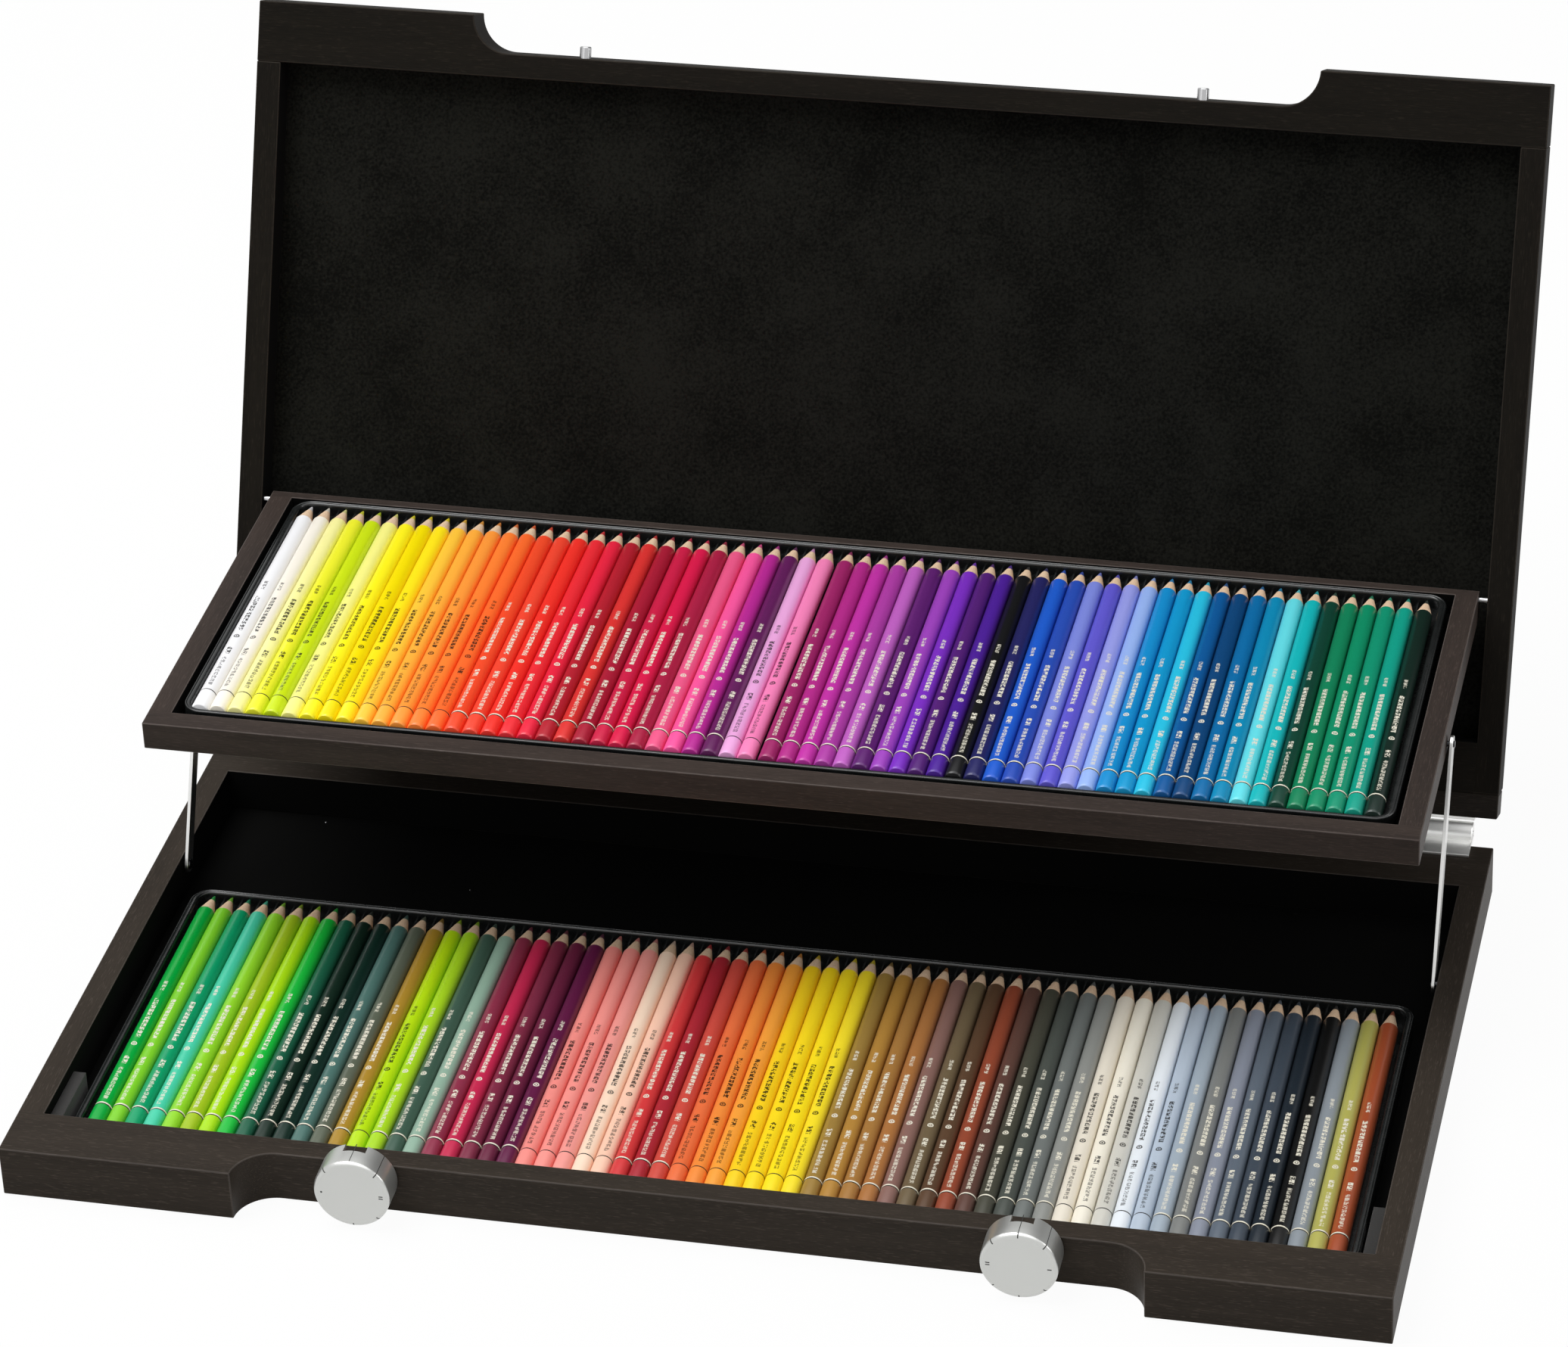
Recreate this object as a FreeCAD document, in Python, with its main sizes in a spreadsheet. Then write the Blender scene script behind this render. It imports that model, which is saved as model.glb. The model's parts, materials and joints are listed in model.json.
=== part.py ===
import FreeCAD, Part
import math
import os
import re
import Sketcher

# Wooden case for two layers of coloured pencils. The lower layer lies in the base, the
# upper one in a tray that swings up and back with the lid on two pins and two links.
# Millimetres. Pieces are drawn in the closed case, from its left front bottom corner:
# X to the right, Y to the back, Z up. Each moving group is then placed as the case
# stands open, and the whole is centred on the middle of the base's underside.

doc = FreeCAD.newDocument("pencil_case")

# Sizes of the case's own members.
CASE_SIZES = {
    "case_width": 550.0,
    "case_depth": 304.5,
    "base_height": 22.0,
    "lid_thickness": 17.0,
    "parting_gap": 1.4,
    "lid_angle": 114.2,
    "front_rail": 25.7,
    "back_rail": 29.8,
    "side_rail": 10.6,
    "corner_block": 94.7,
    "recess_depth": 15.6,
    "bottom_panel": 3.0,
    "panel_rabbet": 4.5,
    "lid_lower_rail": 21.2,
    "batten_width": 10.3,
    "batten_thickness": 15.0,
    "lid_panel": 4.1,
    "lining": 1.0,
    "stop_width": 5.3,
    "stop_length": 35.3,
    "stop_gap": 0.2,
    "brad_radius": 0.9,
    "brad_proud": 0.2,
}

# Sizes of the long hinge behind the case.
HINGE_SIZES = {
    "hinge_setback": 6.8,
    "barrel_radius": 5.0,
    "hinge_pin_radius": 1.6,
    "running_clearance": 0.05,
    "hinge_end_margin": 9.3,
    "leaf_thickness": 1.2,
    "leaf_reach": 8.9,
    "knuckle_gap": 0.3,
    "screw_radius": 1.2,
    "screw_head_radius": 2.2,
    "screw_length": 9.0,
}

# Sizes of the two turning latches and of the pins that they catch.
LATCH_SIZES = {
    "knob_inset": 143.2,
    "knob_height": 16.6,
    "knob_radius": 15.3,
    "knob_wall": 1.8,
    "knob_disc": 2.0,
    "knob_front_gap": 1.5,
    "knob_back_gap": 1.1,
    "notch_width": 9.0,
    "notch_clearance": 0.6,
    "hub_radius": 5.5,
    "hub_end_gap": 0.4,
    "spindle_radius": 3.0,
    "spindle_tip_gap": 0.4,
    "spindle_seat": 6.0,
    "latch_pin_radius": 2.5,
    "latch_pin_reach": 5.0,
    "latch_pin_seat": 6.0,
    "latch_pin_clearance": 0.4,
}

# Sizes of the upper tray, its pins and the links that keep it level.
TRAY_SIZES = {
    "tray_side_gap": 3.7,
    "tray_front_gap": 2.9,
    "tray_height": 12.2,
    "tray_rail": 9.8,
    "tray_back_rail": 4.6,
    "tray_rabbet": 2.5,
    "pivot_edge": 2.0,
    "pivot_drop": 3.1,
    "pivot_depth": 2.9,
    "pivot_radius": 1.2,
    "pivot_seat": 3.8,
    "pivot_end_gap": 0.3,
    "link_front": 83.9,
    "link_drop": 9.1,
    "link_width": 7.0,
    "link_thickness": 1.4,
    "link_clearance": 0.3,
    "link_head_radius": 2.2,
    "link_head": 0.6,
}

# Sizes of the pencils and of the moulded inserts that hold them.
PENCIL_SIZES = {
    "pencil_radius": 3.75,
    "pencil_length": 164.0,
    "pencil_gap": 0.1,
    "cone_length": 12.8,
    "tip_radius": 0.35,
    "insert_height": 9.3,
    "insert_radius": 8.5,
    "insert_rim_side": 3.2,
    "insert_rim_end": 2.3,
    "insert_shell": 1.2,
    "insert_play": 0.3,
    "insert_floor_gap": 0.05,
    "pencil_sink": 1.9,
    "lower_side_gap": 7.4,
    "lower_front_gap": 6.0,
    "lower_slack": 2.1,
    "upper_side_gap": 2.3,
    "upper_front_gap": 2.8,
    "upper_back_gap": 0.6,
    "upper_left_slack": 0.65,
    "upper_right_slack": 1.7,
    "upper_row_gap": 1.0,
    "rim_below_tray": 0.2,
}

# Places that follow from the sizes, as they are in the closed case.
PLACES = {
    "hinge_y": "case_depth + hinge_setback",
    "mating_z": "base_height + parting_gap",
    "hinge_z": "mating_z",
    "lid_top": "mating_z + lid_thickness",
    "lid_rail_front": "case_depth - batten_width - lid_lower_rail",
    "insert_length": "pencil_length + 2 * insert_play + 2 * insert_rim_end",
    "tray_x": "side_rail + tray_side_gap",
    "tray_y": "front_rail + tray_front_gap",
    "tray_width": "case_width - 2 * tray_x",
    "tray_depth": "tray_rail + upper_front_gap + insert_length + upper_back_gap + tray_back_rail",
    "pivot_y": "tray_y + tray_depth - pivot_edge",
    "pivot_z": "mating_z + pivot_depth",
    "tray_top": "pivot_z + pivot_drop",
    "tray_bottom": "tray_top - tray_height",
    "arm_run": "hinge_y - pivot_y",
    "arm_rise": "pivot_z - hinge_z",
    "arm_length": "sqrt(arm_run ^ 2 + arm_rise ^ 2)",
    "link_top_y": "tray_y + link_front",
    "link_top_z": "tray_top - link_drop",
    "link_foot_y": "link_top_y + arm_run",
    "link_foot_z": "link_top_z - arm_rise",
    "link_x": "side_rail + (tray_side_gap - link_thickness) / 2",
    "knob_z": "knob_height",
    "knob_depth": "recess_depth - knob_front_gap - knob_back_gap",
    "hub_length": "recess_depth - knob_front_gap - hub_end_gap",
    "notch_depth": "latch_pin_reach - knob_back_gap + notch_clearance",
    "latch_pin_z": "knob_z + knob_radius - knob_wall - latch_pin_clearance - latch_pin_radius",
    "leaf_length": "case_width - 2 * hinge_end_margin",
    "leaf_y": "case_depth - leaf_reach",
    "lower_insert_width": "case_width - 2 * side_rail - 2 * lower_side_gap",
    "lower_insert_y": "front_rail + lower_front_gap",
    "tray_panel": "tray_height - rim_below_tray - insert_height",
    "upper_insert_width": "tray_width - 2 * tray_rail - 2 * upper_side_gap",
    "upper_insert_y": "tray_y + tray_rail + upper_front_gap",
    "upper_insert_z": "tray_top - rim_below_tray - insert_height",
    "pocket_depth": "pencil_sink + pencil_radius + insert_floor_gap",
    "shell_hollow": "insert_height - pocket_depth - insert_shell",
    "side_depth": "case_depth - front_rail - back_rail",
    "stile_depth": "case_depth - front_rail - batten_width",
}

# How the open case differs from the closed one: the tray is carried along the arc of its
# pins without turning, and the lid and links turn about their own axes.
PLACES["tray_shift_y"] = "arm_run + arm_rise * sin(lid_angle) - arm_run * cos(lid_angle)"
PLACES["tray_shift_z"] = "arm_run * sin(lid_angle) + arm_rise * cos(lid_angle) - arm_rise"
PLACES["lid_shift_y"] = "hinge_y - hinge_y * cos(lid_angle) - hinge_z * sin(lid_angle)"
PLACES["lid_shift_z"] = "hinge_z + hinge_y * sin(lid_angle) - hinge_z * cos(lid_angle)"

sheet = doc.addObject("Spreadsheet::Sheet", "Sizes")
SIZES = {**CASE_SIZES, **HINGE_SIZES, **LATCH_SIZES, **TRAY_SIZES, **PENCIL_SIZES}
for row, (alias, value) in enumerate(SIZES.items(), start=1):
    sheet.set("A%d" % row, alias)
    sheet.set("B%d" % row, str(value))
    sheet.setAlias("B%d" % row, alias)
doc.recompute()


def formula(text):
    """Write a formula of named sizes and places as an expression on the sheet's cells."""
    def cell(match):
        word = match.group(0)
        if word in PLACES:
            return "(" + formula(PLACES[word]) + ")"
        return "Sizes." + word if word in SIZES else word
    return re.sub(r"[a-z][a-z_]*", cell, text)


def bind(item, **properties):
    """Tie properties to formulas; a double underscore stands for the dot in a name."""
    for name, text in properties.items():
        item.setExpression(name.replace("__", "."), formula(text))
    return item


def move(item, x="0", y="0", z="0"):
    return bind(item, Placement__Base__x=x, Placement__Base__y=y, Placement__Base__z=z)


# Solids that the pieces are made of.

AXIS_TURN = {
    "x": FreeCAD.Rotation(FreeCAD.Vector(0, 1, 0), 90),
    "y": FreeCAD.Rotation(FreeCAD.Vector(-1, 0, 0), 90),
    "z": FreeCAD.Rotation(),
}


def block(name, at, size):
    item = doc.addObject("Part::Box", name)
    bind(item, Length=size[0], Width=size[1], Height=size[2])
    return move(item, *at)


def rod(name, axis, at, radius, length):
    item = doc.addObject("Part::Cylinder", name)
    item.Placement = FreeCAD.Placement(FreeCAD.Vector(), AXIS_TURN[axis])
    bind(item, Radius=radius, Height=length)
    return move(item, *at)


def taper(name, axis, at, low_radius, high_radius, height):
    item = doc.addObject("Part::Cone", name)
    item.Placement = FreeCAD.Placement(FreeCAD.Vector(), AXIS_TURN[axis])
    bind(item, Radius1=low_radius, Radius2=high_radius, Height=height)
    return move(item, *at)


def join(name, solids):
    item = doc.addObject("Part::MultiFuse", name)
    item.Shapes = solids
    return item


def gather(name, solids):
    item = doc.addObject("Part::Compound", name)
    item.Links = solids
    return item


def cut(name, solid, *tools):
    item = doc.addObject("Part::Cut", name)
    item.Base = solid
    item.Tool = tools[0] if len(tools) == 1 else join(name + "_tools", list(tools))
    return item


# Groups of pieces that move as one, and where each stands while the case is open.

nodes = []


def node(name, solid, group="base"):
    """Name a finished piece and place it with its group in the open case."""
    item = gather(name + "_node", [solid])
    item.Label = name
    if group == "lid":
        item.Placement = FreeCAD.Placement(
            FreeCAD.Vector(), FreeCAD.Rotation(FreeCAD.Vector(-1, 0, 0), 1))
        bind(item, Placement__Rotation__Angle="lid_angle")
        move(item, "-case_width / 2", "lid_shift_y - case_depth / 2", "lid_shift_z")
    elif group == "tray":
        move(item, "-case_width / 2", "tray_shift_y - case_depth / 2", "tray_shift_z")
    elif group == "link":
        item.Placement = FreeCAD.Placement(
            FreeCAD.Vector(), FreeCAD.Rotation(FreeCAD.Vector(-1, 0, 0), 1))
        bind(item, Placement__Rotation__Angle="lid_angle + atan(arm_rise / arm_run) / 1 deg")
        move(item, "-case_width / 2", "link_foot_y - case_depth / 2", "link_foot_z")
    else:
        move(item, "-case_width / 2", "-case_depth / 2")
    nodes.append(item)
    return item


SIDES = {"left": "{0}", "right": "case_width - ({0})"}


def mirrored(side, start, length):
    """The low X of a stretch that starts at start on the left, or its mirror on the right."""
    return start if side == "left" else "case_width - (%s) - (%s)" % (start, length)


# Front rails of base and lid: a full bar with a shallow bay between two corner blocks,
# which round into the bay's back face as quarter circles.

def front_bar(name, z, height):
    bar = block(name + "_bar", ("0", "0", z), ("case_width", "front_rail", height))
    bay = block(name + "_bay", ("corner_block + recess_depth", "-recess_depth", z),
                ("case_width - 2 * corner_block - 2 * recess_depth", "2 * recess_depth", height))
    rounds = []
    for side, centre in SIDES.items():
        at = (centre.format("corner_block + recess_depth"), "0", z)
        rounds.append(rod(name + "_round_" + side, "z", at, "recess_depth", height))
    return bar, [bay] + rounds


# Base: four rails round a thin bottom panel, which lies in a rabbet of each rail.

PANEL_X = "side_rail - panel_rabbet"
PANEL_WIDTH = "case_width - 2 * side_rail + 2 * panel_rabbet"


def base_panel(name):
    at = (PANEL_X, "front_rail - panel_rabbet", "0")
    return block(name, at, (PANEL_WIDTH, "side_depth + 2 * panel_rabbet", "bottom_panel"))


# The link's lower pivot: a peg from the wood of the side rail, with a small flat head.

def base_pivot(name, side):
    length = "pivot_seat + link_x + link_thickness + running_clearance - side_rail"
    at = (mirrored(side, "side_rail - pivot_seat", length), "link_foot_y", "link_foot_z")
    return rod(name, "x", at, "pivot_radius", length)


# Spindles that the latch knobs turn on, seated in the front rail.

KNOB_X = {side: text.format("knob_inset") for side, text in SIDES.items()}


def spindle(name, side):
    start = "knob_front_gap + knob_disc + spindle_tip_gap"
    length = "recess_depth + spindle_seat - knob_front_gap - knob_disc - spindle_tip_gap"
    return rod(name, "y", (KNOB_X[side], start, "knob_z"), "spindle_radius", length)


# Screws of the hinge, at these shares of a leaf's length.
SCREW_SHARES = (0.04, 0.27, 0.5, 0.73, 0.96)


def hinge_screws(name, member):
    """Countersunk screws along a leaf: heads flush with it, points in the wood."""
    screws = []
    for index, share in enumerate(SCREW_SHARES):
        x = "hinge_end_margin + leaf_length * %s" % share
        if member == "lid":
            axis, z = "y", "mating_z + leaf_reach / 2"
            point = (x, "case_depth + leaf_thickness - screw_length", z)
            seat = (x, "case_depth", z)
        else:
            axis, y = "z", "leaf_y + leaf_reach / 2"
            point = (x, y, "base_height + leaf_thickness - screw_length")
            seat = (x, y, "base_height")
        shank = rod("%s_shank_%d" % (name, index), axis, point, "screw_radius", "screw_length")
        head = taper("%s_head_%d" % (name, index), axis, seat, "screw_radius",
                     "screw_head_radius", "leaf_thickness")
        screws.append(join("%s_%d" % (name, index), [shank, head]))
    return gather(name, screws)


bar, bay = front_bar("base_front", "0", "base_height")
spindle_holes = [spindle("spindle_hole_" + side, side) for side in SIDES]
node("base_front_rail", cut("base_front_cut", bar, *bay, *spindle_holes, base_panel("rabbet_front")))

bar = block("base_back_bar", ("0", "case_depth - back_rail", "0"),
            ("case_width", "back_rail", "base_height"))
base_screws = hinge_screws("base_screws", "base")
node("base_back_rail", cut("base_back_cut", bar, base_screws, base_panel("rabbet_back")))

for side in SIDES:
    bar = block("base_bar_" + side, (mirrored(side, "0", "side_rail"), "front_rail", "0"),
                ("side_rail", "side_depth", "base_height"))
    hole = base_pivot("base_pivot_hole_" + side, side)
    node("base_%s_rail" % side, cut("base_cut_" + side, bar, hole, base_panel("rabbet_" + side)))

# Felt blocks in the front corners, which the closed tray comes down on.
for side in SIDES:
    at = (mirrored(side, "side_rail", "stop_width"), "front_rail", "bottom_panel")
    size = ("stop_width", "stop_length", "tray_bottom - stop_gap - bottom_panel")
    node("stop_block_" + side, block("stop_" + side, at, size))

# Small nails whose heads show on the bottom panel.
BRAD_SHARES = ((0.082, 0.985), (0.224, 0.826), (0.873, 0.985))
brads = []
for index, (across, along) in enumerate(BRAD_SHARES):
    at = ("side_rail + (case_width - 2 * side_rail) * %s" % across,
          "front_rail + side_depth * %s" % along, "0")
    brads.append(rod("brad_%d" % index, "z", at, "brad_radius", "bottom_panel + brad_proud"))
brads = gather("brads", brads)
node("base_brads", brads)
node("base_bottom_panel", cut("base_panel_cut", base_panel("base_panel"), brads))

# Pivot pegs of the links and spindles of the latch knobs.
for side in SIDES:
    peg = base_pivot("base_peg_" + side, side)
    start = "link_x + link_thickness + running_clearance"
    at = (mirrored(side, start, "link_head"), "link_foot_y", "link_foot_z")
    head = rod("base_peg_head_" + side, "x", at, "link_head_radius", "link_head")
    node("link_peg_" + side, join("link_peg_solid_" + side, [peg, head]))
    node("knob_spindle_" + side, spindle("spindle_" + side, side))


# Lid: a front rail like the base's, two stiles, a lower rail and a separate batten that
# carries the hinge. A thin panel closes it, lined inside.

def lid_cover(name):
    depth = "lid_rail_front - front_rail + 2 * panel_rabbet"
    at = (PANEL_X, "front_rail - panel_rabbet", "lid_top - lid_panel")
    return block(name, at, (PANEL_WIDTH, depth, "lid_panel"))


def latch_pin(name, side):
    at = (KNOB_X[side], "recess_depth - latch_pin_reach", "latch_pin_z")
    return rod(name, "y", at, "latch_pin_radius", "latch_pin_reach + latch_pin_seat")


def tray_pin(name, side):
    length = "pivot_seat + tray_side_gap + pivot_seat"
    at = (mirrored(side, "side_rail - pivot_seat", length), "pivot_y", "pivot_z")
    return rod(name, "x", at, "pivot_radius", length)


bar, bay = front_bar("lid_front", "mating_z", "lid_thickness")
pin_holes = [latch_pin("latch_pin_hole_" + side, side) for side in SIDES]
rail = cut("lid_front_cut", bar, *bay, *pin_holes, lid_cover("cover_rabbet_front"))
node("lid_front_rail", rail, "lid")

for side in SIDES:
    bar = block("lid_stile_bar_" + side,
                (mirrored(side, "0", "side_rail"), "front_rail", "mating_z"),
                ("side_rail", "stile_depth", "lid_thickness"))
    length = "pivot_seat + pivot_end_gap"
    at = (mirrored(side, "side_rail - pivot_seat - pivot_end_gap", length), "pivot_y", "pivot_z")
    hole = rod("stile_hole_" + side, "x", at, "pivot_radius + running_clearance", length)
    stile = cut("lid_stile_cut_" + side, bar, hole, lid_cover("cover_rabbet_" + side))
    node("lid_%s_stile" % side, stile, "lid")
    node("latch_pin_" + side, latch_pin("latch_pin_solid_" + side, side), "lid")

bar = block("lid_lower_bar", ("side_rail", "lid_rail_front", "mating_z"),
            ("case_width - 2 * side_rail", "lid_lower_rail", "lid_thickness"))
node("lid_lower_rail", cut("lid_lower_cut", bar, lid_cover("cover_rabbet_lower")), "lid")
node("lid_panel", lid_cover("lid_cover"), "lid")
at = ("side_rail", "front_rail", "lid_top - lid_panel - lining")
size = ("case_width - 2 * side_rail", "lid_rail_front - front_rail", "lining")
node("lid_lining", block("lid_lining_sheet", at, size), "lid")

bar = block("lid_batten_bar", ("0", "case_depth - batten_width", "mating_z"),
            ("case_width", "batten_width", "batten_thickness"))
lid_screws = hinge_screws("lid_screws", "lid")
node("lid_hinge_batten", cut("lid_batten_cut", bar, lid_screws), "lid")


# Hinge: two leaves with knuckles in turn on one long pin, their barrel just behind the
# case at the level of the lid's edge. The base's leaf lies on the back rail, and the lid's
# stands against the rear face of the batten, joined to its knuckles by short webs.

KNUCKLES = 5
KNUCKLE_SHARE = 1 / KNUCKLES


def knuckle_span(index, shrink):
    """Where a knuckle starts along the hinge, and its length."""
    return ("hinge_end_margin + leaf_length * %s + (%s)" % (index * KNUCKLE_SHARE, shrink),
            "leaf_length * %s - 2 * (%s)" % (KNUCKLE_SHARE, shrink))


def knuckle(name, index, radius, shrink):
    start, length = knuckle_span(index, shrink)
    return rod("%s_%d" % (name, index), "x", (start, "hinge_y", "hinge_z"), radius, length)


def hinge_leaf(name, plates, own, screws):
    """A leaf from its plates: its own knuckles join them, and the pin's bore is cut."""
    barrels = [knuckle(name + "_knuckle", index, "barrel_radius", "knuckle_gap / 2")
               for index in own]
    at = ("hinge_end_margin", "hinge_y", "hinge_z")
    hole = rod(name + "_bore", "x", at, "hinge_pin_radius + running_clearance", "leaf_length")
    return cut(name, join(name + "_solid", plates + barrels), hole, screws)


base_turns = range(0, KNUCKLES, 2)
lid_turns = range(1, KNUCKLES, 2)
plate = block("base_leaf_plate", ("hinge_end_margin", "leaf_y", "base_height"),
              ("leaf_length", "hinge_y - leaf_y", "leaf_thickness"))
rooms = [knuckle("base_leaf_room", index, "barrel_radius + knuckle_gap", "-knuckle_gap / 2")
         for index in lid_turns]
plate = cut("base_leaf_trimmed", plate, *rooms)
node("hinge_base_leaf", hinge_leaf("base_leaf", [plate], base_turns, base_screws))

plate = block("lid_leaf_plate", ("hinge_end_margin", "case_depth", "mating_z"),
              ("leaf_length", "leaf_thickness", "leaf_reach"))
webs = []
for index in lid_turns:
    start, length = knuckle_span(index, "knuckle_gap / 2")
    webs.append(block("lid_leaf_web_%d" % index, (start, "case_depth", "mating_z"),
                      (length, "hinge_setback", "leaf_thickness")))
node("hinge_lid_leaf", hinge_leaf("lid_leaf", [plate] + webs, lid_turns, lid_screws), "lid")
at = ("hinge_end_margin", "hinge_y", "hinge_z")
node("hinge_pin", rod("hinge_pin_rod", "x", at, "hinge_pin_radius", "leaf_length"))
node("hinge_base_screws", base_screws)
node("hinge_lid_screws", lid_screws, "lid")


# Upper tray: a light frame round a thin panel, hung on two rear pins in the lid's stiles.

def tray_panel(name):
    at = ("tray_x + tray_rail - tray_rabbet", "tray_y + tray_rail - tray_rabbet", "tray_bottom")
    width = "tray_width - 2 * tray_rail + 2 * tray_rabbet"
    depth = "tray_depth - tray_rail - tray_back_rail + 2 * tray_rabbet"
    return block(name, at, (width, depth, "tray_panel"))


def link_pivot(name, side):
    start = "link_x - running_clearance"
    length = "tray_x + pivot_seat - link_x + running_clearance"
    at = (mirrored(side, start, length), "link_top_y", "link_top_z")
    return rod(name, "x", at, "pivot_radius", length)


bar = block("tray_front_bar", ("tray_x", "tray_y", "tray_bottom"),
            ("tray_width", "tray_rail", "tray_height"))
node("tray_front_rail", cut("tray_front_cut", bar, tray_panel("tray_rabbet_front")), "tray")
bar = block("tray_back_bar", ("tray_x", "tray_y + tray_depth - tray_back_rail", "tray_bottom"),
            ("tray_width", "tray_back_rail", "tray_height"))
pin_holes = [tray_pin("tray_pin_hole_" + side, side) for side in SIDES]
rail = cut("tray_back_cut", bar, *pin_holes, tray_panel("tray_rabbet_back"))
node("tray_back_rail", rail, "tray")
for side in SIDES:
    bar = block("tray_side_bar_" + side,
                (mirrored(side, "tray_x", "tray_rail"), "tray_y + tray_rail", "tray_bottom"),
                ("tray_rail", "tray_depth - tray_rail - tray_back_rail", "tray_height"))
    hole = link_pivot("link_pivot_hole_" + side, side)
    rail = cut("tray_side_cut_" + side, bar, hole, tray_panel("tray_rabbet_" + side))
    node("tray_%s_rail" % side, rail, "tray")
    node("tray_pin_" + side, tray_pin("tray_pin_solid_" + side, side), "tray")
    shank = link_pivot("link_pivot_shank_" + side, side)
    at = (mirrored(side, "link_x - running_clearance - link_head", "link_head"),
          "link_top_y", "link_top_z")
    head = rod("link_pivot_head_" + side, "x", at, "link_head_radius", "link_head")
    node("link_screw_" + side, join("link_screw_solid_" + side, [shank, head]), "tray")
node("tray_bottom_panel", tray_panel("tray_panel_sheet"), "tray")

# Links: flat bars with round ends, drawn from the lower pivot straight to the front. The
# lower hole runs on its peg, the upper one leaves play.
for side in SIDES:
    x = mirrored(side, "link_x", "link_thickness")
    bar = block("link_bar_" + side, (x, "-arm_length", "-link_width / 2"),
                ("link_thickness", "arm_length", "link_width"))
    ends = [rod("link_%s_%s" % (end, side), "x", (x, y, "0"), "link_width / 2", "link_thickness")
            for end, y in (("foot", "0"), ("top", "-arm_length"))]
    foot = rod("link_foot_hole_" + side, "x", (x, "0", "0"),
               "pivot_radius + running_clearance", "link_thickness")
    top = rod("link_top_hole_" + side, "x", (x, "-arm_length", "0"),
              "pivot_radius + link_clearance", "link_thickness")
    outline = join("link_outline_" + side, [bar] + ends)
    node("link_" + side, cut("link_cut_" + side, outline, foot, top), "link")


# Sketches of straight edges, each corner held by its distances from the body's origin.

def origin_feature(body, role):
    return next(item for item in body.Origin.OriginFeatures if item.Role == role)


def outline_sketch(body, name, corners, height="0"):
    sketch = body.newObject("Sketcher::SketchObject", name)
    sketch.AttachmentSupport = (origin_feature(body, "XY_Plane"), [""])
    sketch.MapMode = "FlatFace"
    sketch.setExpression("AttachmentOffset.Base.z", formula(height))
    points = [FreeCAD.Vector(*(reading(text) for text in corner), 0) for corner in corners]
    for index, point in enumerate(points):
        sketch.addGeometry(Part.LineSegment(point, points[(index + 1) % len(points)]), False)
    for index in range(len(points)):
        following = (index + 1) % len(points)
        sketch.addConstraint(Sketcher.Constraint("Coincident", index, 2, following, 1))
    for index, corner in enumerate(corners):
        for kind, text in zip(("DistanceX", "DistanceY"), corner):
            if text == "0":
                axis = -2 if kind == "DistanceX" else -1
                sketch.addConstraint(Sketcher.Constraint("PointOnObject", index, 1, axis))
                continue
            value = reading(text)
            order = (-1, 1, index, 1) if value > 0 else (index, 1, -1, 1)
            number = sketch.addConstraint(Sketcher.Constraint(kind, *order, abs(value)))
            signed = text if value > 0 else "-(%s)" % text
            sketch.setExpression("Constraints[%d]" % number, formula(signed))
    return sketch


def reading(text):
    """The present value of a formula."""
    value = sheet.evalExpression(formula(text).replace("Sizes.", ""))
    return float(getattr(value, "Value", value))


def feature(body, kind, name, profile, **properties):
    item = body.newObject("PartDesign::" + kind, name)
    item.Profile = profile
    bind(item, **properties)
    return item


# Latch knobs: hollow cups turned about a hub, open to the back, with a notch in the rear
# edge that lets the lid's pin in and then holds it when the knob has been turned.

for side in SIDES:
    body = doc.addObject("PartDesign::Body", "knob_body_" + side)
    profile = outline_sketch(body, "knob_profile_" + side, (
        ("0", "0"),
        ("knob_radius", "0"),
        ("knob_radius", "knob_depth"),
        ("knob_radius - knob_wall", "knob_depth"),
        ("knob_radius - knob_wall", "knob_disc"),
        ("hub_radius", "knob_disc"),
        ("hub_radius", "hub_length"),
        ("spindle_radius + running_clearance", "hub_length"),
        ("spindle_radius + running_clearance", "knob_disc"),
        ("0", "knob_disc"),
    ))
    turned = body.newObject("PartDesign::Revolution", "knob_turned_" + side)
    turned.Profile = profile
    turned.ReferenceAxis = (profile, ["V_Axis"])
    turned.Angle = 360
    doc.recompute()
    half, over = "notch_width / 2", "knob_depth + notch_depth"
    low = "knob_depth - notch_depth"
    opening = outline_sketch(body, "notch_outline_" + side, (
        ("-" + half, low), (half, low), (half, over), ("-" + half, over),
    ), "(knob_radius - knob_wall + hub_radius) / 2")
    notch = feature(body, "Pocket", "knob_notch_" + side, opening, Length="knob_radius")
    notch.Reversed = True
    move(body, KNOB_X[side], "knob_front_gap", "knob_z")
    node("knob_" + side, body, "base")


# Inserts: moulded trays with a broad rim, hollow below, nearly filling the frame.

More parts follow.
